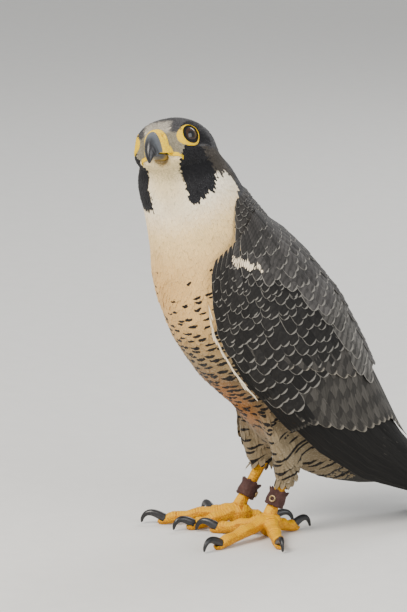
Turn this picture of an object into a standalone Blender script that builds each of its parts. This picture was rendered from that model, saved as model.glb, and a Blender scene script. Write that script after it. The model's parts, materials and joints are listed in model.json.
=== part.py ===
"""A life-size peregrine falcon that stands upright with its head turned and tilted to the left.

Frame: +Z up, the bird faces -Y and its left side is +X. The floor is the plane z = 0.
Sizes are in millimetres and angles in degrees; MM turns millimetres into metres.
"""

import math

import bmesh
import bpy
from mathutils import Matrix, Vector

MM = 0.001
GAP = 0.3
FLAT_ANGLE = 2.0

# Body form: cross-sections from the skull base to the tail root.
# Columns: y, z, half width, depth towards the breast, depth towards the back.
BODY_SECTIONS = (
    (-57.0, 292.0, 25.0, 28.0, 18.0),
    (-53.0, 274.0, 35.5, 37.0, 28.5),
    (-47.0, 255.0, 39.5, 39.5, 34.5),
    (-38.0, 234.0, 42.5, 46.5, 36.5),
    (-27.0, 212.0, 47.5, 56.5, 37.0),
    (-10.0, 184.0, 51.0, 63.0, 43.0),
    (7.0, 152.0, 50.0, 60.0, 46.0),
    (24.0, 126.0, 45.0, 52.0, 42.0),
    (43.0, 99.0, 39.0, 48.0, 36.0),
    (67.0, 73.0, 30.0, 43.0, 26.0),
    (93.0, 51.0, 20.0, 28.0, 15.0),
    (114.0, 36.0, 16.0, 13.0, 9.0),
    (134.0, 22.0, 18.0, 7.0, 5.0),
    (156.0, 10.0, 20.0, 5.0, 3.5),
)
NECK_TOP, NECK_BASE, TAIL_ROOT, TAIL_CORE_END = 1.0, 3.0, 10.0, 13.0
BODY_SIDES = 24
SQUARENESS = 2.15

# Folded wing form, wrapped round the body from the shoulder to the wing tips.
# Columns as above, then the lower and the upper edge as angles round the section.
WING_SECTIONS = (
    (-38.0, 236.0, 45.5, 49.0, 36.0, -6.0, 64.0),
    (-27.0, 212.0, 54.0, 58.5, 41.0, -32.0, 78.0),
    (-10.0, 184.0, 59.0, 65.0, 49.0, -43.0, 84.0),
    (7.0, 152.0, 60.0, 65.0, 57.0, -43.0, 86.0),
    (24.0, 126.0, 57.0, 61.0, 56.0, -40.0, 86.5),
    (43.0, 99.0, 51.0, 56.0, 53.0, -38.0, 86.5),
    (67.0, 73.0, 44.0, 48.0, 45.0, -38.0, 86.0),
    (93.0, 51.0, 36.0, 36.0, 33.0, -38.0, 85.0),
    (118.0, 37.0, 30.0, 26.0, 22.0, -36.0, 83.0),
    (144.0, 26.0, 25.0, 15.0, 16.0, -34.0, 80.0),
    (170.0, 17.0, 18.5, 7.0, 10.0, -28.0, 74.0),
    (197.0, 10.5, 12.0, 4.0, 5.0, -20.0, 64.0),
)
WING_CORE_LENGTH = 0.84

# Vanes of one wing, tier by tier, lowest tier first. Columns: count, then for the first and the last
# vane the place of root and tip as (along the wing, across it), width, height over the form, lift.
WING_TIERS = (
    ("primaries", 6, ((0.36, 0.46), (0.86, 0.84)), ((0.30, 0.02), (1.00, 0.24)), 17.0, 0.2, 0.9),
    ("secondaries", 6, ((0.30, 0.90), (0.76, 0.93)), ((0.34, 0.30), (0.66, 0.38)), 22.0, 1.1, 1.0),
    ("primary_coverts", 4, ((0.22, 0.26), (0.46, 0.27)), ((0.20, 0.04), (0.42, 0.05)), 14.0, 1.4, 0.9),
    ("greater_coverts", 6, ((0.20, 0.86), (0.47, 0.88)), ((0.20, 0.26), (0.42, 0.29)), 22.0, 2.1, 1.0),
    ("alula", 2, ((0.10, 0.13), (0.31, 0.15)), ((0.10, 0.03), (0.27, 0.035)), 12.0, 2.0, 0.9),
    ("scapulars", 4, ((0.08, 0.93), (0.37, 0.93)), ((0.09, 0.60), (0.31, 0.56)), 24.0, 3.0, 1.1),
    ("median_coverts", 5, ((0.09, 0.52), (0.29, 0.52)), ((0.08, 0.14), (0.24, 0.16)), 21.0, 2.6, 1.0),
)

# Head frame: the eyes' midpoint, and how far the head is turned left, raised and tilted left side up.
EYES_MIDPOINT = (14.2, -75.3, 298.1)
HEAD_TURN, HEAD_RAISE, HEAD_TILT = 37.8, 12.6, 13.3
# Head sections along its own axis. Columns: y behind the eyes, half width, top, bottom.
HEAD_SECTIONS = (
    (-20.0, 9.5, 4.8, -12.5),
    (-16.3, 15.5, 8.4, -17.5),
    (-9.5, 23.0, 12.2, -21.0),
    (0.4, 27.5, 15.0, -24.5),
    (10.4, 29.0, 16.4, -28.0),
    (20.3, 28.0, 16.2, -30.0),
    (31.0, 25.0, 13.6, -28.0),
    (40.5, 17.0, 6.0, -21.0),
)
HEAD_SIDES = 22
EYE_RADIUS, LID_RADIUS, EYE_OPENING = 9.0, 10.2, 6.6
EYE_CENTRE = Vector((15.0, -0.5, -1.2))
GAZE_FORWARD = 33.0

# Upper and lower bill in the head frame. Columns: y and z of the ridge, y and z of the edge, half width.
UPPER_BILL = (
    (-7.0, 1.0, -7.0, -12.6, 7.5),
    (-14.5, 3.2, -13.5, -12.8, 8.6),
    (-20.0, 3.4, -19.0, -13.0, 8.0),
    (-24.6, 1.8, -23.0, -13.2, 6.9),
    (-28.6, -1.8, -26.2, -13.8, 5.6),
    (-31.6, -6.6, -28.6, -14.8, 4.3),
    (-33.2, -11.8, -30.2, -16.4, 3.1),
    (-33.4, -16.8, -31.2, -18.8, 1.9),
    (-32.7, -20.8, -32.0, -21.2, 0.6),
)
LOWER_BILL = (
    (-7.0, -13.5, -7.0, -19.0, 6.2),
    (-13.0, -13.6, -12.5, -19.4, 6.8),
    (-19.0, -13.9, -18.0, -19.2, 6.0),
    (-24.0, -14.3, -23.5, -18.2, 4.4),
    (-27.4, -15.2, -27.2, -17.0, 2.0),
)

# Legs: hub of the foot, heel of the tarsus, the trousers' path with radii, and the toes.
# Toes: heading in degrees from straight ahead (left positive), length, claw reach, joint rise.
LEGS = {
    "left": {
        "hub": (21.6, 3.5, 14.0),
        "heel": (23.5, 22.0, 59.0),
        "thigh": (
            (24.0, 4.0, 118.0, 19.0), (26.0, 10.0, 90.0, 16.5), (26.0, 14.0, 72.0, 14.5),
            (24.0, 16.0, 55.0, 12.5), (23.2, 15.5, 43.0, 9.8), (23.0, 15.2, 38.0, 7.6),
        ),
        "toes": {
            "inner": (-39.0, 42.0, 13.5, 3.0),
            "middle": (25.0, 59.0, 15.5, 5.5),
            "outer": (74.0, 45.0, 13.0, 3.5),
            "back": (197.0, 27.0, 14.5, 2.0),
        },
    },
    "right": {
        "hub": (-18.4, -2.0, 14.0),
        "heel": (-21.0, 26.0, 59.0),
        "thigh": (
            (-24.0, 4.0, 118.0, 18.0), (-26.0, 11.0, 90.0, 15.0), (-26.0, 14.0, 73.0, 14.0),
            (-23.5, 16.0, 56.0, 12.0), (-21.5, 16.8, 48.0, 9.8), (-20.8, 17.4, 43.5, 7.6),
        ),
        "toes": {
            "inner": (-3.0, 39.0, 13.5, 3.0),
            "middle": (-30.0, 58.0, 15.0, 6.5),
            "outer": (-84.0, 40.0, 13.0, 5.0),
            "back": (168.0, 27.0, 14.5, 2.0),
        },
    },
}

FINISHES = {
    "slate_back": ((0.10, 0.11, 0.13), 0.75, 0.0),
    "breast_cream": ((0.72, 0.62, 0.48), 0.85, 0.0),
    "flight_grey": ((0.05, 0.05, 0.06), 0.6, 0.0),
    "skin_yellow": ((0.80, 0.55, 0.06), 0.5, 0.0),
    "horn_dark": ((0.02, 0.02, 0.025), 0.35, 0.0),
    "bill_blue": ((0.22, 0.26, 0.32), 0.35, 0.0),
    "eye_brown": ((0.03, 0.012, 0.006), 0.08, 0.0),
    "leather_brown": ((0.08, 0.025, 0.018), 0.55, 0.0),
    "eyelet_brass": ((0.45, 0.33, 0.14), 0.35, 1.0),
}


def clear_scene():
    for obj in list(bpy.data.objects):
        bpy.data.objects.remove(obj)


def material(object_name, finish):
    colour, roughness, metallic = FINISHES[finish]
    made = bpy.data.materials.new(f"{finish}_{object_name}")
    made.use_nodes = True
    shader = made.node_tree.nodes["Principled BSDF"]
    shader.inputs["Base Color"].default_value = (*colour, 1.0)
    shader.inputs["Roughness"].default_value = roughness
    shader.inputs["Metallic"].default_value = metallic
    return made


def spline(rows, t):
    """The row of numbers at place t of a smooth curve through the rows, one unit of t from row to row."""
    last = len(rows) - 1
    i = min(max(int(math.floor(t)), 0), last - 1)
    f = t - i
    before, start, end, after = rows[max(i - 1, 0)], rows[i], rows[i + 1], rows[min(i + 2, last)]
    return tuple(
        0.5 * (2 * b + (c - a) * f + (2 * a - 5 * b + 4 * c - d) * f * f + (3 * b - a - 3 * c + d) * f**3)
        for a, b, c, d in zip(before, start, end, after)
    )


def spread(count, low=0.0, high=1.0):
    return [low + (high - low) * i / (count - 1) for i in range(count)]


def mix(one, two, share):
    return tuple(a + (b - a) * share for a, b in zip(one, two))


def round_power(value, squareness):
    return math.copysign(abs(value) ** (2.0 / squareness), value)


def object_from(name, mesh_maker, finish):
    bm = bmesh.new()
    mesh_maker(bm)
    bmesh.ops.recalc_face_normals(bm, faces=bm.faces)
    mesh = bpy.data.meshes.new(name)
    bm.to_mesh(mesh)
    bm.free()
    obj = bpy.data.objects.new(name, mesh)
    mesh.materials.append(material(name, finish))
    bpy.context.scene.collection.objects.link(obj)
    return obj


def add_loft(bm, rings):
    made = [[bm.verts.new(Vector(p) * MM) for p in ring] for ring in rings]
    for one, two in zip(made, made[1:]):
        for i in range(len(one)):
            j = (i + 1) % len(one)
            bm.faces.new((one[i], one[j], two[j]))
            bm.faces.new((one[i], two[j], two[i]))
    bm.faces.new(made[0])
    bm.faces.new(list(reversed(made[-1])))


def loft(name, rings, finish):
    """A closed body through rings of points, with a flat cap on each end."""
    return object_from(name, lambda bm: add_loft(bm, rings), finish)


def slab(name, outer, inner, finish):
    """A closed body between two equal grids of points, both faces split into triangles alike."""

    def make(bm):
        top = [[bm.verts.new(Vector(p) * MM) for p in row] for row in outer]
        low = [[bm.verts.new(Vector(p) * MM) for p in row] for row in inner]
        rows, columns = len(top), len(top[0])
        for i in range(rows - 1):
            for j in range(columns - 1):
                for grid in (top, low):
                    p, q, r, s = grid[i][j], grid[i + 1][j], grid[i + 1][j + 1], grid[i][j + 1]
                    bm.faces.new((p, q, r))
                    bm.faces.new((p, r, s))
        rim = [(i, 0) for i in range(rows)] + [(rows - 1, j) for j in range(1, columns)]
        rim += [(i, columns - 1) for i in range(rows - 2, -1, -1)]
        rim += [(0, j) for j in range(columns - 2, 0, -1)]
        for (i, j), (m, n) in zip(rim, rim[1:] + rim[:1]):
            bm.faces.new((top[i][j], top[m][n], low[m][n]))
            bm.faces.new((top[i][j], low[m][n], low[i][j]))

    return object_from(name, make, finish)


def ball(name, centre, radius, finish, sides=16, rings=10, scale=(1, 1, 1), frame=Matrix()):
    def make(bm):
        bmesh.ops.create_uvsphere(bm, u_segments=sides, v_segments=rings, radius=radius * MM)
        bmesh.ops.scale(bm, vec=scale, verts=bm.verts)
        place = frame @ Matrix.Translation(Vector(centre))
        place.translation *= MM
        bmesh.ops.transform(bm, matrix=place, verts=bm.verts)

    return object_from(name, make, finish)


def box(name, low, high, finish, frame=Matrix()):
    def make(bm):
        bmesh.ops.create_cube(bm, size=1.0)
        middle, size = (Vector(low) + Vector(high)) / 2, Vector(high) - Vector(low)
        bmesh.ops.scale(bm, vec=size * MM, verts=bm.verts)
        place = frame @ Matrix.Translation(middle)
        place.translation *= MM
        bmesh.ops.transform(bm, matrix=place, verts=bm.verts)

    return object_from(name, make, finish)


def turned(name, profile, sides, finish, frame=Matrix()):
    """A ring-shaped body: a closed profile of (radius, height) turned round the frame's Z axis."""

    def make(bm):
        rows = []
        for k in range(sides):
            turn = 2 * math.pi * k / sides
            row = []
            for radius, height in profile(turn):
                p = frame @ Vector((radius * math.cos(turn), radius * math.sin(turn), height))
                row.append(bm.verts.new(p * MM))
            rows.append(row)
        for one, two in zip(rows, rows[1:] + rows[:1]):
            for i in range(len(one)):
                j = (i + 1) % len(one)
                bm.faces.new((one[i], one[j], two[j]))
                bm.faces.new((one[i], two[j], two[i]))

    return object_from(name, make, finish)


def frame_along(start, end):
    """A frame at start whose Z axis points to end and whose X axis stays near the world's X axis."""
    z = (Vector(end) - Vector(start)).normalized()
    y = z.cross(Vector((1, 0, 0))).normalized()
    x = y.cross(z)
    turn = Matrix((x, y, z)).transposed().to_4x4()
    return Matrix.Translation(Vector(start)) @ turn


def apply_modifiers(obj):
    bpy.context.view_layer.update()
    graph = bpy.context.evaluated_depsgraph_get()
    mesh = bpy.data.meshes.new_from_object(obj.evaluated_get(graph))
    obj.modifiers.clear()
    old = obj.data
    obj.data = mesh
    bpy.data.meshes.remove(old)


def surfaces(bm):
    """The faces of the mesh in groups that hang together across their edges."""
    groups, seen = [], set()
    for start in bm.faces:
        if start in seen:
            continue
        seen.add(start)
        group, queue = [start], [start]
        while queue:
            for edge in queue.pop().edges:
                for face in edge.link_faces:
                    if face not in seen:
                        seen.add(face)
                        group.append(face)
                        queue.append(face)
        groups.append(group)
    return groups


def keep_largest(obj):
    """Keeps only the closed surface with the largest box."""
    bm = bmesh.new()
    bm.from_mesh(obj.data)

    def size(group):
        corners = [vert.co for face in group for vert in face.verts]
        return sum(max(co[k] for co in corners) - min(co[k] for co in corners) for k in range(3))

    for group in sorted(surfaces(bm), key=size)[:-1]:
        bmesh.ops.delete(bm, geom=group, context="FACES")
    bm.to_mesh(obj.data)
    bm.free()


def unite(obj, others, solver="EXACT"):
    """Joins closed bodies to obj with one union on a collection of them."""
    pieces = bpy.data.collections.new(obj.name + "_pieces")
    bpy.context.scene.collection.children.link(pieces)
    for other in others:
        bpy.context.scene.collection.objects.unlink(other)
        pieces.objects.link(other)
    join = obj.modifiers.new("join", "BOOLEAN")
    join.operation = "UNION"
    join.operand_type = "COLLECTION"
    join.collection = pieces
    join.solver = solver
    apply_modifiers(obj)
    for other in list(pieces.objects):
        bpy.data.objects.remove(other)
    bpy.data.collections.remove(pieces)
    keep_largest(obj)
    return obj


def cut(obj, tool, keep_tool=False, solver="EXACT"):
    taken = obj.modifiers.new("cut", "BOOLEAN")
    taken.operation = "DIFFERENCE"
    taken.object = tool
    taken.solver = solver
    apply_modifiers(obj)
    if not keep_tool:
        bpy.data.objects.remove(tool)
    keep_largest(obj)
    return obj


def mirrored(obj, name):
    """A copy of obj on the other side of the plane x = 0."""
    bm = bmesh.new()
    bm.from_mesh(obj.data)
    bmesh.ops.scale(bm, vec=(-1, 1, 1), verts=bm.verts)
    bmesh.ops.reverse_faces(bm, faces=bm.faces)
    mesh = bpy.data.meshes.new(name)
    bm.to_mesh(mesh)
    bm.free()
    finish = obj.data.materials[0].name.rsplit("_" + obj.name, 1)[0]
    mesh.materials.append(material(name, finish))
    copy = bpy.data.objects.new(name, mesh)
    bpy.context.scene.collection.objects.link(copy)
    return copy


def merge_close(obj, distance=0.004):
    """Closes hair-thin slivers that the cuts leave, and splits every face into triangles."""
    bm = bmesh.new()
    bm.from_mesh(obj.data)
    bmesh.ops.remove_doubles(bm, verts=bm.verts, dist=distance * MM)
    bmesh.ops.dissolve_limit(bm, angle_limit=math.radians(FLAT_ANGLE), verts=bm.verts, edges=bm.edges)
    bmesh.ops.triangulate(bm, faces=bm.faces)
    bm.to_mesh(obj.data)
    bm.free()


def section_point(sections, t, angle, grow=0.0):
    """A point of a form at place t; angle 0 is the bird's left, 90 its back and -90 its breast."""
    y, z, half_width, breast, back = spline(sections, t)[:5]
    last = len(sections) - 1
    ahead, behind = spline(sections, min(t + 0.05, last)), spline(sections, max(t - 0.05, 0))
    along = Vector((0.0, ahead[0] - behind[0], ahead[1] - behind[1])).normalized()
    to_back = Vector((0.0, -along.z, along.y))
    turn = math.radians(angle)
    side = round_power(math.cos(turn), SQUARENESS) * (half_width + grow)
    depth = round_power(math.sin(turn), SQUARENESS)
    depth *= (back if depth > 0 else breast) + grow
    return Vector((side, y, z)) + to_back * depth


def section_ring(sections, t, sides, grow=0.0):
    return [section_point(sections, t, 360.0 * i / sides, grow) for i in range(sides)]


def body_loft(name, start, end, rings, finish, grow=0.0):
    places = spread(rings, start, end)
    return loft(name, [section_ring(BODY_SECTIONS, t, BODY_SIDES, grow) for t in places], finish)


def step_along_body(t, distance):
    """How much t changes for a distance along the body's centre line."""
    a, b = spline(BODY_SECTIONS, t - 0.05), spline(BODY_SECTIONS, t + 0.05)
    return 0.1 * distance / math.hypot(b[0] - a[0], b[1] - a[1])


def head_frame():
    turn = Matrix.Rotation(math.radians(HEAD_TURN), 4, "Z")
    raised = Matrix.Rotation(-math.radians(HEAD_RAISE), 4, "X")
    tilt = Matrix.Rotation(-math.radians(HEAD_TILT), 4, "Y")
    return Matrix.Translation(Vector(EYES_MIDPOINT)) @ turn @ raised @ tilt


HEAD = head_frame()


def head_ring(t, grow=0.0):
    y, half_width, top, bottom = spline(HEAD_SECTIONS, t)
    middle, half_height = (top + bottom) / 2, (top - bottom) / 2
    ring = []
    for i in range(HEAD_SIDES):
        turn = 2 * math.pi * i / HEAD_SIDES
        fuller = 1.0 - 0.12 * math.sin(turn)
        x = round_power(math.cos(turn), 2.3) * (half_width * fuller + grow)
        z = middle + round_power(math.sin(turn), 2.1) * (half_height + grow)
        ring.append(HEAD @ Vector((x, y, z)))
    return ring


def bill_rings(rows, grow=0.0, ridge_squareness=1.9):
    """Rings of the bill: a rounded ridge above and a flat underside between the two edges."""
    rings = []
    for row in rows:
        top, low = Vector((0, row[0], row[1])), Vector((0, row[2], row[3]))
        up = (top - low).normalized()
        top, low, half = top + up * grow, low - up * grow, row[4] + grow
        ring = []
        for i in range(11):
            turn = math.pi * i / 10
            side = round_power(math.cos(turn), 2.4) * half
            rise = round_power(math.sin(turn), ridge_squareness)
            ring.append(HEAD @ (low + (top - low) * rise + Vector((side, 0, 0))))
        rings.append(ring)
    return rings


def lower_bill_rings(grow=0.0):
    """Rings of the lower bill: a flat top between the edges and a rounded keel."""
    rings = []
    for row in LOWER_BILL:
        top, low = Vector((0, row[0], row[1])), Vector((0, row[2], row[3]))
        up = (top - low).normalized()
        top, low, half = top + up * grow, low - up * grow, row[4] + grow
        ring = []
        for i in range(9):
            turn = math.pi * i / 8
            side = round_power(math.cos(turn), 2.2) * half
            drop = round_power(math.sin(turn), 2.0)
            ring.append(HEAD @ (top + (low - top) * drop + Vector((side, 0, 0))))
        rings.append(ring)
    return rings


def eye_centre(side):
    return Vector((EYE_CENTRE.x * side, EYE_CENTRE.y, EYE_CENTRE.z))


def gaze(side):
    """The way an eye looks: outwards and partly forwards."""
    turn = math.radians(GAZE_FORWARD)
    return Vector((math.cos(turn) * side, -math.sin(turn), 0.04)) * 20.0


def make_head():
    head = loft("head", [head_ring(t) for t in spread(13, 0.0, len(HEAD_SECTIONS) - 1)], "slate_back")
    unite(head, [body_loft("head_stub", 0.15, NECK_TOP, 3, "slate_back")])
    for side in (1, -1):
        dish = (30.5 * side, -5.0, -1.0)
        cut(head, ball("eye_dish", dish, 1.0, "slate_back", 14, 8, (8.2, 13.0, 10.5), HEAD))
    lids = []
    for side in (1, -1):
        lids.append(ball(f"lid_{side}", eye_centre(side), LID_RADIUS, "slate_back", 16, 10, (1, 1, 1), HEAD))
    unite(head, lids)
    for side, name in ((1, "left"), (-1, "right")):
        frame = frame_along(HEAD @ eye_centre(side), HEAD @ (eye_centre(side) + gaze(side)))
        cut(head, turned_pin("eye_opening", EYE_OPENING, 4.0, 16.0, frame))
        cut(head, ball("eye_socket", eye_centre(side), EYE_RADIUS + GAP, "eye_brown", 14, 9, (1, 1, 1), HEAD))
        ball(f"eye_{name}", eye_centre(side), EYE_RADIUS, "eye_brown", 14, 9, (1, 1, 1), HEAD)
    cut(head, loft("bill_socket", bill_rings(UPPER_BILL, GAP), "bill_blue"))
    cut(head, loft("jaw_socket", lower_bill_rings(GAP), "bill_blue"))
    for side in (1, -1):
        low, high = sorted((9.0 * side, 24.0 * side))
        groove = HEAD @ Matrix.Translation((0, -11.5, -14.8)) @ Matrix.Rotation(math.radians(-18.0), 4, "X")
        cut(head, box("mouth_line", (low, -6.5, -0.4), (high, 6.5, 0.4), "slate_back", groove))
    return head


def make_bill():
    upper = loft("bill_upper", bill_rings(UPPER_BILL), "bill_blue")
    for side in (1, -1):
        place = HEAD @ Matrix.Translation((6.2 * side, -17.8, -1.2))
        cut(upper, ball("nostril", (0, 0, 0), 1.0, "bill_blue", 12, 8, (3.4, 1.7, 1.7), place))
    loft("bill_lower", lower_bill_rings(), "bill_blue")
    return upper


def make_body():
    neck = body_loft("neck", NECK_TOP + step_along_body(NECK_TOP, GAP), NECK_BASE, 6, "breast_cream")
    rings = [head_ring(t, GAP) for t in spread(15, 0.0, len(HEAD_SECTIONS) - 1)]
    cut(neck, loft("head_clearance", rings, "slate_back"))
    torso = body_loft("torso", NECK_BASE + step_along_body(NECK_BASE, GAP), TAIL_ROOT, 15, "breast_cream")
    return neck, torso


def wing_place(a, b):
    """(t along the wing form, angle round it): a from shoulder to tip, b from lower to upper edge."""
    start = 0.1 + 0.75 * (1 - b) ** 2
    end = len(WING_SECTIONS) - 1.0 - 0.7 * b
    t = start + (end - start) * a
    low, high = spline(WING_SECTIONS, t)[5:7]
    return t, low + (high - low) * b


def wing_point(a, b, height=0.0):
    t, angle = wing_place(a, b)
    return section_point(WING_SECTIONS, t, angle, height)


def wing_depth(a, b):
    """How far the inner face of the wing core lies under the wing form."""
    body = 13.0 * (1 - a) ** 1.2 + 2.6
    edge = min(1.0, 0.30 + 6.0 * b * (1 - b) + 0.9 * a)
    front = min(1.0, 0.18 + a * 12.0)
    return body * edge * front


def wing_slab(name, outside=0.0, inside=0.0, length=WING_CORE_LENGTH, low_edge=0.0, rows=14, columns=8):
    stations, across = spread(rows, 0.0, length), spread(columns, low_edge, 1.0)
    outer = [[wing_point(a, b, outside) for b in across] for a in stations]
    inner = [[wing_point(a, b, -wing_depth(a, max(b, 0.0)) - inside) for b in across] for a in stations]
    return slab(name, outer, inner, "slate_back")


VANE_WIDTHS = ((0.0, 0.5), (0.35, 1.0), (0.75, 0.95), (0.93, 0.6), (1.0, 0.12))


def vane(name, surface, root, tip, width, height, lift, tilt, finish):
    """One feather on a form: a ridged blade whose root is sunk in the form and whose tip is lifted."""
    rings = []
    for share, fullness in VANE_WIDTHS:
        a, b = mix(root, tip, share)
        across = (surface(a, b + 0.01, height) - surface(a, b - 0.01, height)).length / 0.02
        half = 0.5 * width * fullness / across
        level = height - 1.9 * (1 - share) ** 2 + lift * share * share
        thick = 0.55 + 0.65 * fullness
        ring = []
        for place, rise in ((-1, 0.0), (0.0, 0.45), (1, 0.0)):
            ring.append(surface(a, b + half * place, level + tilt * place + rise))
        for place in (1, -1):
            ring.append(surface(a, b + half * place, level + tilt * place - thick))
        rings.append(ring)
    return loft(name, rings, finish)


def make_wing():
    wing = wing_slab("wing_left")
    vanes = []
    for tier, count, first, last, width, height, lift in WING_TIERS:
        for i in range(count):
            share = i / (count - 1)
            root, tip = mix(first[0], last[0], share), mix(first[1], last[1], share)
            level = height + 0.11 * i
            vanes.append(vane(f"{tier}_{i}", wing_point, root, tip, width, level, lift, 0.45, "flight_grey"))
    unite(wing, vanes, "MANIFOLD")
    return wing


TAIL_TOP = ((84.0, 61.0), (105.0, 45.0), (127.0, 29.5), (150.0, 15.2), (172.0, 6.6), (207.0, 3.6))


def tail_point(a, b, height=0.0):
    """A point of the tail's upper face: a from root to tip, b from the right to the left edge."""
    y, z = spline(TAIL_TOP, a * (len(TAIL_TOP) - 1))
    reach = 13.0 + 12.0 * a
    x = (2 * b - 1) * reach
    droop = 4.2 * (1 - a) + 1.0
    return Vector((x, y + 0.5 * height, z + height - droop * (2 * b - 1) ** 2))


def tail_clearance():
    """The room that the wings leave for the tail and its feathers."""
    rings = []
    for a in spread(9, 0.05, 1.06):
        reach = 13.0 + 12.0 * a + 7.5
        top, low = tail_point(a, 0.5, 3.2), tail_point(a, 0.5, -8.0 + 3.0 * a)
        ring = []
        for i in range(16):
            turn = 2 * math.pi * i / 16
            p = low.lerp(top, 0.5 + 0.5 * math.sin(turn))
            ring.append(Vector((math.cos(turn) * reach, p.y, p.z)))
        rings.append(ring)
    return loft("tail_clearance", rings, "flight_grey")


def make_tail():
    start = TAIL_ROOT + step_along_body(TAIL_ROOT, GAP)
    tail = body_loft("tail", start, TAIL_CORE_END, 6, "flight_grey")
    vanes = []
    for i in range(12):
        place = i / 11
        middle = abs(2 * place - 1)
        tip = (1.0 - 0.05 * middle, 0.5 + (place - 0.5) * 0.86)
        root = (0.28, 0.5 + (place - 0.5) * 0.6)
        level = -0.2 - 2.0 * middle
        tilt = 0.35 if place > 0.5 else -0.35
        vanes.append(vane(f"rectrix_{i}", tail_point, root, tip, 14.0, level, 0.3, -tilt, "flight_grey"))
    unite(tail, vanes)
    return tail


def floor_box(name="floor_cut"):
    return box(name, (-200, -200, -60), (200, 300, 0.0), "slate_back")


def tube_rings(path, sides, grow=0.0, flat=1.0):
    """Rings round a path of (x, y, z, radius) rows; flat squeezes them upright."""
    rings, up = [], Vector((0, 0, 1))
    for i, row in enumerate(path):
        after, before = path[min(i + 1, len(path) - 1)], path[max(i - 1, 0)]
        along = (Vector(after[:3]) - Vector(before[:3])).normalized()
        side = along.cross(up if abs(along.z) < 0.95 else Vector((0, 1, 0))).normalized()
        rise = side.cross(along).normalized()
        ring = []
        for k in range(sides):
            turn = 2 * math.pi * (k + 0.5) / sides
            reach = row[3] + grow
            out = side * (math.cos(turn) * reach) + rise * (math.sin(turn) * reach * flat)
            ring.append(Vector(row[:3]) + out)
        rings.append(ring)
    return rings


def tarsus_rows(leg, grow=0.0):
    foot, heel = Vector(leg["hub"]) + Vector((0, 0, 1.0)), Vector(leg["heel"])
    rows = []
    for share, radius in ((0.0, 5.0), (0.15, 4.3), (0.45, 3.8), (0.7, 4.1), (0.84, 4.5)):
        rows.append((*foot.lerp(heel, share), radius + grow))
    return rows


def toe_path(hub, toe, samples=7):
    """Rows along a toe: it drops from the hub, arches a little over each joint and rests on its pads."""
    heading, length, reach, rise = toe
    turn = math.radians(heading)
    ahead = Vector((math.sin(turn), -math.cos(turn), 0))
    rows = []
    for s in spread(samples, 0.0, 1.0):
        drop = (1 - s) ** 2.4
        pad = 0.45 * math.cos(2 * math.pi * (s * 3.0 + 0.5))
        radius = 5.6 - 1.5 * s + pad
        level = 0.94 * radius - 0.7 + (hub[2] - 6.1) * drop + rise * math.sin(math.pi * s) * 0.45
        rows.append((*(Vector((hub[0], hub[1], 0)) + ahead * (s * length) + Vector((0, 0, level))), radius))
    return rows, ahead


def claw_rows(hub, toe, grow=0.0):
    """Rows along a claw: it starts inside the toe's end, arches forward and curves down to the floor."""
    rows, ahead = toe_path(hub, toe)
    base = Vector(rows[-1][:3]) - ahead * 3.0 + Vector((0, 0, 1.0))
    reach = toe[2] + 3.0
    out = []
    for s in spread(6):
        swing = s * math.radians(96)
        forward = math.sin(swing) / math.sin(math.radians(96)) * reach * 0.98
        lift = 5.0 * math.sin(math.pi * min(1.0, s * 1.15)) - (base.z - 0.9) * s * s
        radius = 3.3 * (1 - s) ** 0.8 + 0.35
        out.append((*(base + ahead * forward + Vector((0, 0, lift))), radius + grow))
    return out


def make_leg(name, leg):
    hub = leg["hub"]
    pad = (hub[0], hub[1] + 1.0, hub[2] - 5.6)
    foot = ball(f"foot_{name}", pad, 1.0, "skin_yellow", 12, 8, (9.0, 9.5, 9.0))
    toes = []
    for toe_name, toe in leg["toes"].items():
        rows, ahead = toe_path(hub, toe)
        end = Vector(rows[-1][:3]) + ahead * 2.6
        rows.append((*end, rows[-1][3] * 0.62))
        toes.append(loft(f"toe_{toe_name}_{name}", tube_rings(rows, 8, flat=0.94), "skin_yellow"))
    unite(foot, toes)
    cut(foot, loft("tarsus_socket", tube_rings(tarsus_rows(leg, GAP), 14), "skin_yellow"))
    cut(foot, floor_box())
    for toe_name, toe in leg["toes"].items():
        cut(foot, loft("claw_socket", tube_rings(claw_rows(hub, toe, GAP), 8), "horn_dark"))
        loft(f"claw_{toe_name}_{name}", tube_rings(claw_rows(hub, toe), 8), "horn_dark")
    loft(f"tarsus_{name}", tube_rings(tarsus_rows(leg), 14), "skin_yellow")
    return foot


def make_anklet(name, leg, side):
    """A leather band round the tarsus with a frilled upper edge and a metal eyelet at the back."""
    frame = frame_along(leg["hub"], leg["heel"])

    def profile(turn):
        frill = 0.7 * math.sin(9 * turn)
        return ((5.4, 9.5), (5.9, 20.4 + frill), (7.5 + 0.4 * frill, 20.8 + frill), (7.2, 14.5), (7.2, 9.6))

    band = turned(f"anklet_{name}", profile, 24, "leather_brown", frame)
    outward = frame @ Matrix.Translation((0, 0, 14.0)) @ Matrix.Rotation(math.radians(-50.0 * side), 4, "Z")
    hole = outward @ Matrix.Rotation(math.radians(90), 4, "Y")
    cut(band, turned_pin("eyelet_hole", 1.5, 3.0, 12.0, hole))
    seat = hole @ Matrix.Translation((0, 0, 7.9))
    ring = ((1.4, 0.0), (1.4, 0.9), (2.6, 0.9), (2.6, 0.0))
    turned(f"eyelet_{name}", lambda turn: ring, 12, "eyelet_brass", seat)
    return band


def turned_pin(name, radius, low, high, frame):
    rings = []
    for height in (low, high):
        ring = []
        for k in range(14):
            turn = 2 * math.pi * k / 14
            ring.append(frame @ Vector((radius * math.cos(turn), radius * math.sin(turn), height)))
        rings.append(ring)
    return loft(name, rings, "leather_brown")


def make_thigh(name, leg, side, body_cutter, wing_cutter):
    thigh = loft(f"thigh_{name}", tube_rings(leg["thigh"], 18), "breast_cream")
    cut(thigh, body_cutter, keep_tool=True)
    cut(thigh, wing_cutter, keep_tool=True)
    cut(thigh, loft("heel_socket", tube_rings(tarsus_rows(leg, GAP), 14), "breast_cream"))
    return thigh


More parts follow.
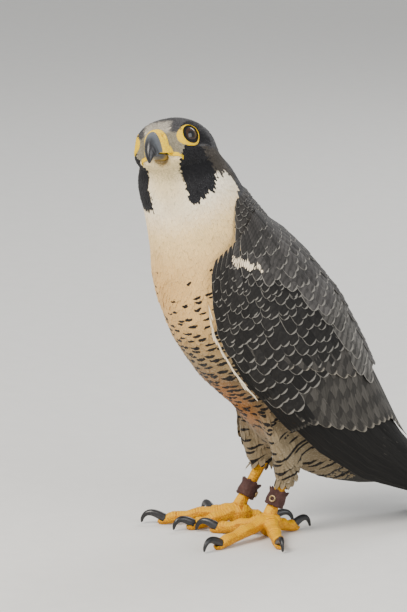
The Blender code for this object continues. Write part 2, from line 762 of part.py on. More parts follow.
def rest_on_floor():
    """Moves everything: the middle of its box over the origin, its lowest point on the floor."""
    low, high = Vector((1e9,) * 3), Vector((-1e9,) * 3)
    for obj in bpy.context.scene.objects:
        for vert in obj.data.vertices:
            for k in range(3):
                low[k] = min(low[k], vert.co[k])
                high[k] = max(high[k], vert.co[k])
    shift = Vector((-(low.x + high.x) / 2, -(low.y + high.y) / 2, -low.z))
    for obj in bpy.context.scene.objects:
        obj.data.transform(Matrix.Translation(shift))
    return shift


def main():
    clear_scene()
    make_body()
    make_head()
    make_bill()
    body_cutter = body_loft("body_clearance", 2.0, TAIL_CORE_END, 24, "slate_back", grow=GAP + 0.4)
    wing = make_wing()
    cut(wing, body_cutter, keep_tool=True, solver="MANIFOLD")
    cut(wing, tail_clearance(), solver="MANIFOLD")
    cut(wing, box("right_half", (-200, -200, -60), (0.5 * GAP, 300, 400), "slate_back"), solver="MANIFOLD")
    mirrored(wing, "wing_right")
    tail = make_tail()
    cut(tail, floor_box())
    for name, side in (("left", 1), ("right", -1)):
        leg = LEGS[name]
        wing_cutter = wing_slab("wing_clearance", 14.0, 1.6, 0.9, -0.09)
        if side < 0:
            flipped = mirrored(wing_cutter, "wing_clearance_right")
            bpy.data.objects.remove(wing_cutter)
            wing_cutter = flipped
        make_thigh(name, leg, side, body_cutter, wing_cutter)
        bpy.data.objects.remove(wing_cutter)
        make_leg(name, leg)
        make_anklet(name, leg, side)
    bpy.data.objects.remove(body_cutter)
    for obj in bpy.context.scene.objects:
        merge_close(obj)
        keep_largest(obj)
    return rest_on_floor()


SHIFT = main()
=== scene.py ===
# %% [markdown]
# A peregrine falcon stands upright and looks up to its left.
# This lesson dresses the plain CAD bird with skin, feathers, horn, scaly feet and leather anklets.
# The CAD bird gives the frame: every new piece is placed from the same named sizes and rides on it,
# so the dressed bird keeps the true size and stance. Sizes are in millimetres until the last moment.

import json
import math

import bmesh
import bpy
import numpy as np
from mathutils import Matrix, Vector, noise
from mathutils.bvhtree import BVHTree
from mathutils.kdtree import KDTree

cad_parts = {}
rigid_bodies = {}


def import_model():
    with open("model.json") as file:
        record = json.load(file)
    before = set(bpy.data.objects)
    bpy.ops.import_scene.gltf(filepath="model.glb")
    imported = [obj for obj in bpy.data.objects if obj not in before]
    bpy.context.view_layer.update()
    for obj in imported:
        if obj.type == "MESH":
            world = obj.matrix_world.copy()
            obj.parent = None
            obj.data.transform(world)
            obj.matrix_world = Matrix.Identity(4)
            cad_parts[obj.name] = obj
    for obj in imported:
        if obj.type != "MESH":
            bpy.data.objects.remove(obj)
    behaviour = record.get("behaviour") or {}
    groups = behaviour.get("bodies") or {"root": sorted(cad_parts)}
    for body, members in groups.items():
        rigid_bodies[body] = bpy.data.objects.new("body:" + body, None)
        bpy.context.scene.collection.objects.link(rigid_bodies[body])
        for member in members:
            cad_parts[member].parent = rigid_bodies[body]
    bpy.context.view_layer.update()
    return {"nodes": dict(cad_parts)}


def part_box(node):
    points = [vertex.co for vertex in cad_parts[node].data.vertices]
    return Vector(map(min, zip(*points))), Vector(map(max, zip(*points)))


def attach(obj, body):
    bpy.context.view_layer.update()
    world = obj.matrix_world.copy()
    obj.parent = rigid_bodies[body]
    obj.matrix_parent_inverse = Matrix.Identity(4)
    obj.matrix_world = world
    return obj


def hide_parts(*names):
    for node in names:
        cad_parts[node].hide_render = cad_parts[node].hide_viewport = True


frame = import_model()
NODES = frame["nodes"]
MM = 0.001

# %% [markdown]
# A bird's body is a smooth tube of changing section, from the skull to the tail root.
# We describe it by a few cross-sections and a curve through them, instead of sculpting by hand.
# A table of named sections is easy to read, and body, skin and feathers can all ask it for points.
# Columns: y, z, half width, depth towards the breast, depth towards the back.

# %% Body sections
SHIFT = np.array((-3.16, -52.36, 0.0))
SQUARENESS = 2.15
BODY_SECTIONS = (
    (-57.0, 292.0, 25.0, 28.0, 18.0),
    (-53.0, 274.0, 35.5, 37.0, 28.5),
    (-47.0, 255.0, 39.5, 39.5, 34.5),
    (-38.0, 234.0, 42.5, 46.5, 36.5),
    (-27.0, 212.0, 47.5, 56.5, 37.0),
    (-10.0, 184.0, 51.0, 63.0, 43.0),
    (7.0, 152.0, 50.0, 60.0, 46.0),
    (24.0, 126.0, 45.0, 52.0, 42.0),
    (43.0, 99.0, 39.0, 48.0, 36.0),
    (67.0, 73.0, 30.0, 43.0, 26.0),
    (93.0, 51.0, 20.0, 28.0, 15.0),
    (114.0, 36.0, 16.0, 13.0, 9.0),
    (134.0, 22.0, 18.0, 7.0, 5.0),
    (156.0, 10.0, 20.0, 5.0, 3.5),
)
print("body sections:", len(BODY_SECTIONS))

# %% [markdown]
# A folded wing wraps round the body like a shell. It could be cut from the body, but its own sections
# let it stand off and end in a tip.
# Two more columns give its lower and its upper edge as angles round the section.
# A place on the wing is then two numbers: a, from shoulder to tip, and b, from lower to upper edge.

# %% Wing sections
WING_SECTIONS = (
    (-38.0, 236.0, 45.5, 49.0, 36.0, -6.0, 64.0),
    (-27.0, 212.0, 54.0, 58.5, 41.0, -32.0, 78.0),
    (-10.0, 184.0, 59.0, 65.0, 49.0, -43.0, 84.0),
    (7.0, 152.0, 60.0, 65.0, 57.0, -43.0, 86.0),
    (24.0, 126.0, 57.0, 61.0, 56.0, -40.0, 86.5),
    (43.0, 99.0, 51.0, 56.0, 53.0, -38.0, 86.5),
    (67.0, 73.0, 44.0, 48.0, 45.0, -38.0, 86.0),
    (93.0, 51.0, 36.0, 36.0, 33.0, -38.0, 85.0),
    (118.0, 37.0, 30.0, 26.0, 22.0, -36.0, 83.0),
    (144.0, 26.0, 25.0, 15.0, 16.0, -34.0, 80.0),
    (170.0, 17.0, 18.5, 7.0, 10.0, -28.0, 74.0),
    (197.0, 10.5, 12.0, 4.0, 5.0, -20.0, 64.0),
)
print("wing sections:", len(WING_SECTIONS))

# %% [markdown]
# A living body has no kinks, so the sections are joined by a curve that passes through every row.
# A curve object could do this too, but a formula on arrays answers for thousands of places at once.

# %% Curve through the sections
def spline_rows(rows, t):
    """Rows of numbers at the places t of a smooth curve through the rows."""
    rows = np.asarray(rows, float)
    t = np.asarray(t, float)
    last = len(rows) - 1
    i = np.clip(np.floor(t).astype(int), 0, last - 1)
    f = (t - i)[..., None]
    a, b = rows[np.maximum(i - 1, 0)], rows[i]
    c, d = rows[i + 1], rows[np.minimum(i + 2, last)]
    return 0.5 * (2 * b + (c - a) * f + (2 * a - 5 * b + 4 * c - d) * f**2 + (3 * b - a - 3 * c + d) * f**3)


def signed_power(value, power):
    return np.sign(value) * np.abs(value) ** power


def form_points(sections, t, angle, grow=0.0):
    """Points on a form; angle 0 is the bird's left, 90 its back and -90 its breast."""
    last = len(sections) - 1
    row = spline_rows(sections, t)
    step = spline_rows(sections, np.minimum(t + 0.05, last)) - spline_rows(sections, np.maximum(t - 0.05, 0))
    run = np.hypot(step[..., 0], step[..., 1])
    along_y, along_z = step[..., 0] / run, step[..., 1] / run
    turn = np.radians(angle)
    side = signed_power(np.cos(turn), 2 / SQUARENESS) * (row[..., 2] + grow)
    depth = signed_power(np.sin(turn), 2 / SQUARENESS)
    depth = depth * (np.where(depth > 0, row[..., 4], row[..., 3]) + grow)
    return np.stack((side, row[..., 0] - along_z * depth, row[..., 1] + along_y * depth), -1) + SHIFT


print("breast point:", form_points(BODY_SECTIONS, np.array(4.0), np.array(-90.0)).round(1))

# %% [markdown]
# Feathers sit in rows on the folded wing, so every place on it is asked for by its share along and
# across. A UV map on a mesh could hold the same two numbers. The function needs no mesh.

# %% Places on the wing
def wing_points(a, b, height=0.0):
    start = 0.1 + 0.75 * (1 - b) ** 2
    end = len(WING_SECTIONS) - 1.0 - 0.7 * b
    t = np.maximum(start + (end - start) * a, 0.06)
    edges = spline_rows(WING_SECTIONS, t)[..., 5:7]
    return form_points(WING_SECTIONS, t, edges[..., 0] + (edges[..., 1] - edges[..., 0]) * b, height)


print("wing tip:", wing_points(np.array(1.0), np.array(0.3)).round(1))

# %% [markdown]
# The head is turned to the left, raised and tilted. An empty could carry it, but a matrix of its own
# also answers where a point of the body lies in it.
# In that frame x is the bird's left, y points backwards and z up, with the eyes' midpoint at zero.
# Everything on the face is measured there and then carried into the world by one matrix.

# %% Head frame
EYES_MIDPOINT = (14.2, -75.3, 298.1)
HEAD_TURN, HEAD_RAISE, HEAD_TILT = 37.8, 12.6, 13.3
HEAD = Matrix.Translation(Vector(EYES_MIDPOINT) + Vector(SHIFT))
HEAD = HEAD @ Matrix.Rotation(math.radians(HEAD_TURN), 4, "Z")
HEAD = HEAD @ Matrix.Rotation(-math.radians(HEAD_RAISE), 4, "X")
HEAD = HEAD @ Matrix.Rotation(-math.radians(HEAD_TILT), 4, "Y")
HEAD_INVERSE = np.array(HEAD.inverted())
EYE_CENTRE = Vector((15.0, -0.5, -1.2))
EYE_RADIUS = 9.0
GAZE_FORWARD = math.radians(33)
eye_low, eye_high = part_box("eye_left")
drift = (eye_low + eye_high) / 2 / MM - HEAD @ EYE_CENTRE
print("eye is off its CAD place by mm:", round(drift.length, 2))


def in_head(points):
    """Points in the head frame."""
    return points @ HEAD_INVERSE[:3, :3].T + HEAD_INVERSE[:3, 3]

# %% [markdown]
# Three small helpers are used for every piece: one turns a bmesh into a mesh with soft shading,
# one bridges a row of rings into a closed tube, and one hands the piece to the frame.
# Rings bridged by an operator are quicker to shape than a tube that is extruded by hand.

# %% Helpers for pieces
def mesh_from(bm, name, sharp=50.0):
    bmesh.ops.recalc_face_normals(bm, faces=bm.faces)
    mesh = bpy.data.meshes.new(name)
    bm.to_mesh(mesh)
    bm.free()
    mesh.shade_smooth()
    mesh.set_sharp_from_angle(angle=math.radians(sharp))
    return mesh


def bridge_rings(bm, rings, ends=True, round_trip=False):
    """Bridges rings of points, each given in metres, into one tube."""
    loops = []
    for k, ring in enumerate(rings):
        cap = ends and not round_trip and k in (0, len(rings) - 1)
        made = bmesh.ops.create_circle(bm, cap_ends=cap, segments=len(ring), radius=1.0)
        for vert, place in zip(made["verts"], ring):
            vert.co = place
        loops.append({edge for vert in made["verts"] for edge in vert.link_edges})
    pairs = list(zip(loops, loops[1:] + loops[:1])) if round_trip else list(zip(loops, loops[1:]))
    for one, two in pairs:
        bmesh.ops.bridge_loops(bm, edges=list(one | two))


def add_piece(name, mesh, finish, replaces=()):
    piece = bpy.data.objects.new(name, mesh)
    bpy.context.scene.collection.objects.link(piece)
    mesh.materials.clear()
    mesh.materials.append(finish)
    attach(piece, "root")
    if replaces:
        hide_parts(*replaces)
    print(name, "has", sum(len(p.vertices) - 2 for p in mesh.polygons), "triangles")


print("piece helpers ready")

# %% [markdown]
# An effect that several finishes share is a node group with named inputs and outputs. The same nodes
# could be wired in each material, but one group is mended in one place.

# %% Node groups
def node_group(name, inputs, outputs):
    group = bpy.data.node_groups.new(name, "ShaderNodeTree")
    for title, kind, value in inputs:
        socket = group.interface.new_socket(title, in_out="INPUT", socket_type=kind)
        socket.default_value = value
    for title, kind in outputs:
        group.interface.new_socket(title, in_out="OUTPUT", socket_type=kind)
    return group, group.nodes.new("NodeGroupInput"), group.nodes.new("NodeGroupOutput")


SURFACE_OUTPUTS = (("Color", "NodeSocketColor"), ("Roughness", "NodeSocketFloat"),
                   ("Height", "NodeSocketFloat"))
print("a surface group gives", ", ".join(title for title, _ in SURFACE_OUTPUTS))

# %% [markdown]
# Every finish is a net of shader nodes. It could be wired by hand in the Shader Editor, but a small
# class with one word for each usual node keeps the wiring short enough to read.

# %% Node helpers
class Wiring:
    """Short ways to add the usual nodes to one tree."""

    def __init__(self, tree):
        self.tree = tree

    def plug(self, value, socket):
        if isinstance(value, bpy.types.NodeSocket):
            self.tree.links.new(value, socket)
        else:
            socket.default_value = value

    def math(self, operation, *values):
        node = self.tree.nodes.new("ShaderNodeMath")
        node.operation = operation
        for value, socket in zip(values, node.inputs):
            self.plug(value, socket)
        return node.outputs[0]

    def times(self, one, two):
        return self.math("MULTIPLY", one, two)

    def plus(self, one, two):
        return self.math("ADD", one, two)

    def minus(self, one, two):
        return self.math("SUBTRACT", one, two)

    def ramp(self, value, low, high, to_low=0.0, to_high=1.0):
        node = self.tree.nodes.new("ShaderNodeMapRange")
        node.interpolation_type = "SMOOTHSTEP"
        for place, entry in enumerate((value, low, high, to_low, to_high)):
            self.plug(entry, node.inputs[place])
        return node.outputs[0]

    def blend(self, share, one, two, kind="MIX"):
        node = self.tree.nodes.new("ShaderNodeMix")
        node.data_type = "RGBA"
        node.blend_type = kind
        self.plug(share, node.inputs[0])
        self.plug(one, node.inputs[6])
        self.plug(two, node.inputs[7])
        return node.outputs[2]

    def vector(self, x, y, z):
        node = self.tree.nodes.new("ShaderNodeCombineXYZ")
        for value, socket in zip((x, y, z), node.inputs):
            self.plug(value, socket)
        return node.outputs[0]

    def split(self, value, kind="XYZ"):
        node = self.tree.nodes.new("ShaderNodeSeparate" + kind)
        self.plug(value, node.inputs[0])
        return node.outputs

    def noise(self, vector, scale, detail=2.0, roughness=0.5):
        node = self.tree.nodes.new("ShaderNodeTexNoise")
        self.plug(vector, node.inputs["Vector"])
        node.inputs["Scale"].default_value = scale
        node.inputs["Detail"].default_value = detail
        node.inputs["Roughness"].default_value = roughness
        return node.outputs["Fac"]

    def cells(self, vector, scale):
        """How far a place is from the edge of its cell."""
        node = self.tree.nodes.new("ShaderNodeTexVoronoi")
        node.feature = "DISTANCE_TO_EDGE"
        self.plug(vector, node.inputs["Vector"])
        self.plug(scale, node.inputs["Scale"])
        return node.outputs["Distance"]

    def placed(self, group, **values):
        """Places a node group with its own values and gives back its outputs."""
        node = self.tree.nodes.new("ShaderNodeGroup")
        node.node_tree = group
        for title, value in values.items():
            node.inputs[title.replace("_", " ")].default_value = value
        return node.outputs

    def attribute(self, name):
        node = self.tree.nodes.new("ShaderNodeAttribute")
        node.attribute_name = name
        return node

    def place(self):
        return self.tree.nodes.new("ShaderNodeTexCoord").outputs["Object"]


print("node helpers ready")

# %% [markdown]
# A feather has a shaft, barbs that run slantwise from it, a pale worn fringe and often dark bars.
# All feathers share that build, so it is made once as a node group that reads the feather's own UV map:
# u runs across the vane and v from root to tip. Attributes carry what differs from feather to feather.

# %% Feather pattern
def build_feather_pattern():
    inputs = (
        ("Barb contrast", "NodeSocketFloat", 0.25),
        ("Fringe colour", "NodeSocketColor", (0.3, 0.29, 0.27, 1.0)),
        ("Mark colour", "NodeSocketColor", (0.02, 0.018, 0.017, 1.0)),
        ("Fringe width", "NodeSocketFloat", 0.16),
    )
    group, given, out = node_group("feather_pattern", inputs, SURFACE_OUTPUTS)
    w = Wiring(group)
    uv = group.nodes.new("ShaderNodeUVMap")
    uv.uv_map = "Feather"
    across, along, _ = w.split(uv.outputs[0])
    side = w.math("ABSOLUTE", w.math("MULTIPLY_ADD", across, 2.0, -1.0))
    base = w.attribute("plume_colour").outputs["Color"]
    fringe_power, bar_power, spot_power = w.split(w.attribute("plume_pattern").outputs["Color"], "Color")
    seed = w.attribute("plume_seed").outputs["Fac"]
    # Barbs and a soft mottling shade the vane.
    slant = w.minus(along, w.times(side, 0.22))
    level = w.minus(along, w.times(side, 0.05))
    barb_place = w.vector(w.times(slant, 46.0), w.times(across, 3.0), w.times(seed, 37.0))
    barbs = w.noise(barb_place, 1.0, 3.0, 0.6)
    mottle_place = w.vector(w.times(slant, 4.0), w.times(across, 2.0), w.times(seed, 91.0))
    mottle = w.noise(mottle_place, 1.4, 2.0)
    shade = w.plus(w.ramp(barbs, 0.3, 0.7, 0.78, 1.18), w.times(w.minus(mottle, 0.5), 0.35))
    shade = w.math("MULTIPLY_ADD", w.minus(shade, 1.0), w.times(given.outputs["Barb contrast"], 4.0), 1.0)
    shaded = w.blend(1.0, base, w.vector(shade, shade, shade), "MULTIPLY")
    # Dark bars run across it, and a drop can sit near its tip.
    wobble = w.times(w.minus(mottle, 0.5), 0.25)
    wave = w.math("SINE", w.times(w.plus(level, w.times(wobble, 0.5)), 36.0))
    bars = w.times(w.ramp(wave, -0.1, 0.45), bar_power)
    barred = w.blend(w.times(bars, 0.9), shaded, given.outputs["Mark colour"])
    spot_rise = w.math("DIVIDE", w.minus(w.plus(along, wobble), 0.80), 0.085)
    spot_wide = w.math("DIVIDE", side, w.math("MULTIPLY_ADD", seed, 0.35, 0.5))
    spot_out = w.plus(w.math("POWER", w.math("ABSOLUTE", spot_rise), 2.0), w.math("POWER", spot_wide, 2.0))
    spots = w.times(w.ramp(spot_out, 0.6, 1.3, 1.0, 0.0), spot_power)
    marked = w.blend(spots, barred, given.outputs["Mark colour"])
    # Sides and tip wear pale, and the shaft shows dark.
    inner = w.minus(1.0, given.outputs["Fringe width"])
    side_rim = w.ramp(w.plus(side, w.times(wobble, 0.4)), inner, 1.0)
    tip_start = w.minus(1.0, w.times(given.outputs["Fringe width"], 0.55))
    tip_rim = w.ramp(along, tip_start, w.plus(tip_start, 0.03))
    rim = w.times(w.math("MAXIMUM", side_rim, tip_rim), fringe_power)
    fringed = w.blend(rim, marked, given.outputs["Fringe colour"])
    shaft = w.ramp(side, 0.02, 0.07, 1.0, 0.0)
    lined = w.blend(w.times(shaft, 0.35), fringed, (0.02, 0.018, 0.016, 1.0))
    group.links.new(lined, out.inputs["Color"])
    w.plug(w.ramp(barbs, 0.2, 0.8, 0.72, 0.5), out.inputs["Roughness"])
    height = w.plus(w.times(barbs, 0.6), shaft)
    w.plug(height, out.inputs["Height"])
    return group


FEATHER_PATTERN = build_feather_pattern()
print("feather pattern nodes:", len(FEATHER_PATTERN.nodes))

# %% [markdown]
# Dark drops on the breast grow into bars on the belly and run on from feather to feather. They could be
# painted as a picture. Here the cells of a Voronoi texture place them, measured in millimetres round
# and down the body, and they widen where the amount rises.

# %% Marks of the breast and belly
def build_breast_marks():
    outputs = (("Mask", "NodeSocketFloat"),)
    group, given, out = node_group("breast_marks", (("Boldness", "NodeSocketFloat", 1.0),), outputs)
    w = Wiring(group)
    around, down, amount = w.split(w.attribute("mark_place").outputs["Color"], "Color")
    round_mm = w.times(w.minus(around, 0.5), 1000.0)
    down_mm = w.times(w.minus(down, 0.5), 1000.0)
    flat = w.vector(w.times(round_mm, 0.13), w.times(down_mm, 0.21), 0.0)
    wave = w.minus(w.noise(flat, 1.3, 3.0, 0.6), 0.5)
    bent = w.math("MULTIPLY_ADD", wave, 0.9, w.times(down_mm, 0.21))
    warped = w.vector(w.times(round_mm, 0.13), bent, 0.0)
    cells = group.nodes.new("ShaderNodeTexVoronoi")
    cells.voronoi_dimensions = "2D"
    cells.inputs["Scale"].default_value = 1.0
    cells.inputs["Randomness"].default_value = 0.75
    group.links.new(warped, cells.inputs["Vector"])
    here, middle = w.split(warped), w.split(cells.outputs["Position"])
    luck = w.split(cells.outputs["Color"], "Color")
    # Each cell holds one mark: a drop with a bent lower edge, wider where the amount rises.
    aside = w.math("ABSOLUTE", w.minus(here[0], middle[0]))
    drop = w.plus(w.minus(here[1], middle[1]), w.times(aside, 0.35))
    wide = w.math("MULTIPLY_ADD", amount, 0.30, w.math("MULTIPLY_ADD", luck[1], 0.12, 0.10))
    tall = w.math("MULTIPLY_ADD", amount, 0.10, 0.16)
    one = w.math("POWER", w.math("DIVIDE", aside, wide), 2.0)
    two = w.math("POWER", w.math("DIVIDE", w.math("ABSOLUTE", drop), tall), 2.0)
    mark = w.ramp(w.plus(one, two), 0.7, 1.3, 1.0, 0.0)
    shown = w.math("LESS_THAN", luck[0], w.times(amount, 1.15))
    there = w.ramp(amount, 0.02, 0.12)
    mask = w.times(w.times(mark, shown), w.times(there, given.outputs["Boldness"]))
    group.links.new(mask, out.inputs["Mask"])
    return group


BREAST_MARKS = build_breast_marks()


def with_marks(w, colour):
    """The colour with the dark marks of breast, belly and trousers laid over it."""
    marks = w.placed(BREAST_MARKS, Boldness=1.0)
    return w.blend(marks["Mask"], colour, (0.010, 0.008, 0.007, 1.0))


print("breast mark nodes:", len(BREAST_MARKS.nodes))

# %% [markdown]
# Slate, flight, pale and hood feathers differ only in fringe, marks and contrast. So four materials
# share the one group, and each has its own Principled shader, which has to stay outside a group.

# %% Feather finishes
def new_finish(name, **constants):
    finish = bpy.data.materials.new(name)
    finish.use_nodes = True
    shader = finish.node_tree.nodes["Principled BSDF"]
    for title, value in constants.items():
        shader.inputs[title.replace("_", " ")].default_value = value
    return finish, Wiring(finish.node_tree), shader


def finish_surface(w, shader, colour, roughness, height, strength, distance):
    """Feeds colour and roughness to the shader, and the height through a Bump node."""
    w.plug(colour, shader.inputs["Base Color"])
    w.plug(roughness, shader.inputs["Roughness"])
    bump = w.tree.nodes.new("ShaderNodeBump")
    bump.inputs["Strength"].default_value = strength
    bump.inputs["Distance"].default_value = distance
    w.plug(height, bump.inputs["Height"])
    w.tree.links.new(bump.outputs[0], shader.inputs["Normal"])


def feather_finish(name, barb_contrast, fringe, mark, fringe_width, sheen, marked=False):
    finish, w, shader = new_finish(name, Sheen_Weight=sheen, Specular_IOR_Level=0.16)
    made = w.placed(FEATHER_PATTERN, Barb_contrast=barb_contrast, Fringe_colour=(*fringe, 1.0),
                    Mark_colour=(*mark, 1.0), Fringe_width=fringe_width)
    colour = with_marks(w, made["Color"]) if marked else made["Color"]
    finish_surface(w, shader, colour, made["Roughness"], made["Height"], 0.35, 0.0003)
    return finish


DARK_MARK = (0.008, 0.0075, 0.0075)
SLATE_FEATHER = feather_finish("slate_feather", 0.30, (0.23, 0.218, 0.195), DARK_MARK, 0.12, 0.02)
FLIGHT_FEATHER = feather_finish("flight_feather", 0.25, (0.30, 0.27, 0.22), DARK_MARK, 0.07, 0.02)
PALE_FEATHER = feather_finish("pale_feather", 0.10, (0.84, 0.76, 0.60), DARK_MARK, 0.12, 0.08, True)
HOOD_FEATHER = feather_finish("hood_feather", 0.40, (0.10, 0.10, 0.105), DARK_MARK, 0.16, 0.02)
print("feather finishes:", [m.name for m in (SLATE_FEATHER, FLIGHT_FEATHER, PALE_FEATHER, HOOD_FEATHER)])

# %% [markdown]
# Under the feathers lies the skin. It replaces the CAD head, neck, torso and thighs, so no seam shows.
# Copies of those solids are swollen a little until they overlap, then melted into one surface by a voxel
# remesh, smoothed, and drawn in by the depth of the coat. A remesh is quicker and safer here than joining
# five lofts by hand, and the coat hides its even facets.

# %% Melted copy of the flesh
FLESH = ("head", "neck", "torso", "thigh_left", "thigh_right")
FILLED = ("eye_left", "eye_right")


def swollen_copy(names, swell):
    bm = bmesh.new()
    for name in names:
        bm.from_mesh(NODES[name].data)
    bmesh.ops.remove_doubles(bm, verts=bm.verts, dist=2e-6)
    bmesh.ops.recalc_face_normals(bm, faces=bm.faces)
    bm.normal_update()
    for vert in bm.verts:
        vert.co += vert.normal * swell
    return mesh_from(bm, names[0] + "_copy")


def melted(mesh, voxel):
    piece = bpy.data.objects.new("melting", mesh)
    bpy.context.scene.collection.objects.link(piece)
    remesh = piece.modifiers.new("melt", "REMESH")
    remesh.mode = "VOXEL"
    remesh.voxel_size = voxel
    bpy.context.view_layer.update()
    graph = bpy.context.evaluated_depsgraph_get()
    made = bpy.data.meshes.new_from_object(piece.evaluated_get(graph))
    bpy.data.objects.remove(piece)
    return made


SKIN_VOXEL = 0.0015
skin_mesh = melted(swollen_copy(FLESH + FILLED, 0.0003), SKIN_VOXEL)
print("melted skin has", len(skin_mesh.vertices), "points")

# %% [markdown]
# A remesh leaves steps on the skin and scraps inside it. We read points and edges into arrays, keep the
# largest surface, and draw each point towards its neighbours, as the Smooth brush does by hand.

# %% Smoothing and reading a mesh
def mesh_points(mesh):
    points = np.empty(len(mesh.vertices) * 3)
    mesh.vertices.foreach_get("co", points)
    return points.reshape(-1, 3)


def mesh_edges(mesh):
    edges = np.empty(len(mesh.edges) * 2, int)
    mesh.edges.foreach_get("vertices", edges)
    return edges.reshape(-1, 2)


def largest_part(mesh):
    """Keeps only the largest surface of a mesh."""
    edges = mesh_edges(mesh)
    label = np.arange(len(mesh.vertices))
    while True:
        low = label.copy()
        np.minimum.at(low, edges[:, 0], label[edges[:, 1]])
        np.minimum.at(low, edges[:, 1], label[edges[:, 0]])
        low = low[low]
        if (low == label).all():
            break
        label = low
    values, counts = np.unique(label, return_counts=True)
    keep = values[counts.argmax()]
    bm = bmesh.new()
    bm.from_mesh(mesh)
    bm.verts.ensure_lookup_table()
    stray = [bm.verts[int(i)] for i in np.flatnonzero(label != keep)]
    bmesh.ops.delete(bm, geom=stray, context="VERTS")
    bm.to_mesh(mesh)
    bm.free()
    mesh.update()
    return len(stray)


def smooth_points(mesh, rounds, weight=None):
    points, edges = mesh_points(mesh), mesh_edges(mesh)
    count = np.bincount(edges.ravel(), minlength=len(points))[:, None]
    weight = 0.6 if weight is None else 0.6 * weight[:, None]
    for _ in range(rounds):
        total = np.zeros_like(points)
        for k in range(3):
            total[:, k] += np.bincount(edges[:, 0], points[edges[:, 1], k], len(points))
            total[:, k] += np.bincount(edges[:, 1], points[edges[:, 0], k], len(points))
        points += (total / count - points) * weight
    mesh.vertices.foreach_set("co", points.ravel())
    mesh.update()


print("loose scraps removed:", largest_part(skin_mesh))
smooth_points(skin_mesh, 6)

# %% [markdown]
# On the bird no line shows between head, neck and back. Many rounds of smoothing blend them, while a
# mask holds the face, because brow and bill would melt away.

# %% Neck blended into head and back
def band(value, low, high):
    """0 below low, 1 above high and a soft step between."""
    share = np.clip((value - low) / (high - low), 0, 1)
    return share * share * (3 - 2 * share)


skin_points = mesh_points(skin_mesh) / MM
face = in_head(skin_points)
near_face = (1 - band(face[:, 1], 2, 14)) * band(face[:, 2], -30, -20)
smooth_points(skin_mesh, 40, 1 - near_face)
print("smoothed; share held for the face:", round(float(near_face.mean()), 3))

# %% [markdown]
# Markings follow the body's length and girth. To ask where a point lies on it, we spread places over the
# body form and let a search tree find the nearest. A ray would miss where the body curves away.

# %% Nearest place on the body
body_t, body_angle = np.meshgrid(np.linspace(0, 13, 131), np.arange(-180, 180, 4.0), indexing="ij")
BODY_PLACES = np.stack((body_t.ravel(), body_angle.ravel()), -1)
BODY_TREE = KDTree(len(BODY_PLACES))
for index, place in enumerate(form_points(BODY_SECTIONS, BODY_PLACES[:, 0], BODY_PLACES[:, 1])):
    BODY_TREE.insert(place, index)
BODY_TREE.balance()


def on_body(points):
    """(t along the body, angle round it) of the nearest places on the body form."""
    return BODY_PLACES[[BODY_TREE.find(p)[1] for p in points]]


print("places on the body:", len(BODY_PLACES))

# %% [markdown]
# The adult falcon wears a slate hood with a broad moustache stripe, a white cheek and throat,
# a cream breast with spots that grow into bars lower down, and grey barred trousers.
# They could be painted on the mesh. Tables of colours and borders are easier to read and to move.

# %% Colours and borders
COLOURS = {
    "stripe": (0.012, 0.012, 0.014),
    "crown": (0.058, 0.057, 0.060),
    "forehead": (0.34, 0.31, 0.26),
    "ear": (0.058, 0.050, 0.042),
    "back": (0.050, 0.049, 0.050),
    "white": (0.97, 0.87, 0.67),
    # Painted shade and reflected yellow light on the white throat under the bill.
    "throat_painted_shade": (0.76, 0.58, 0.25),
    "cream": (0.90, 0.63, 0.27),
    "buff": (0.62, 0.34, 0.09),
    # The belly's own buff-brown, darkened further by painted shade.
    "belly_with_painted_shade": (0.165, 0.118, 0.062),
    "rust": (0.36, 0.13, 0.02),
    "trousers": (0.215, 0.168, 0.100),
    "lore": (0.13, 0.115, 0.078),
}
# Moustache stripe in the head frame: height z, then its front and rear edge as angles from straight ahead.
STRIPE = ((-10.5, 38, 64), (-15.7, 32, 80), (-21.4, 30, 98), (-30.3, 37, 99), (-39.1, 45, 95),
          (-47.2, 51, 75))
STRIPE_END = -47.0
# Lower edge of the ear feathers: angle from straight ahead, then height.
CHEEK_TOP = ((90, -21), (96, -27), (105, -27.5), (116, -26.5), (121, -31), (128, -36))
# Dark nape on the neck: place t, the middle of the band and its half width as angles round the body.
NAPE = ((0.0, 134, 62), (1.2, 120, 70), (2.1, 108, 71), (2.8, 97, 72), (3.0, 90, 80))


def lookup(table, column, value):
    rows = sorted(table)
    return np.interp(value, [r[0] for r in rows], [r[column] for r in rows])


print("colours of the coat:", ", ".join(COLOURS))

# %% [markdown]
# The markings are written once, as a function of place, and both the skin and the feathers read it.
# The edges are soft steps between named curves, which keeps the pattern crisp at any size of feather.

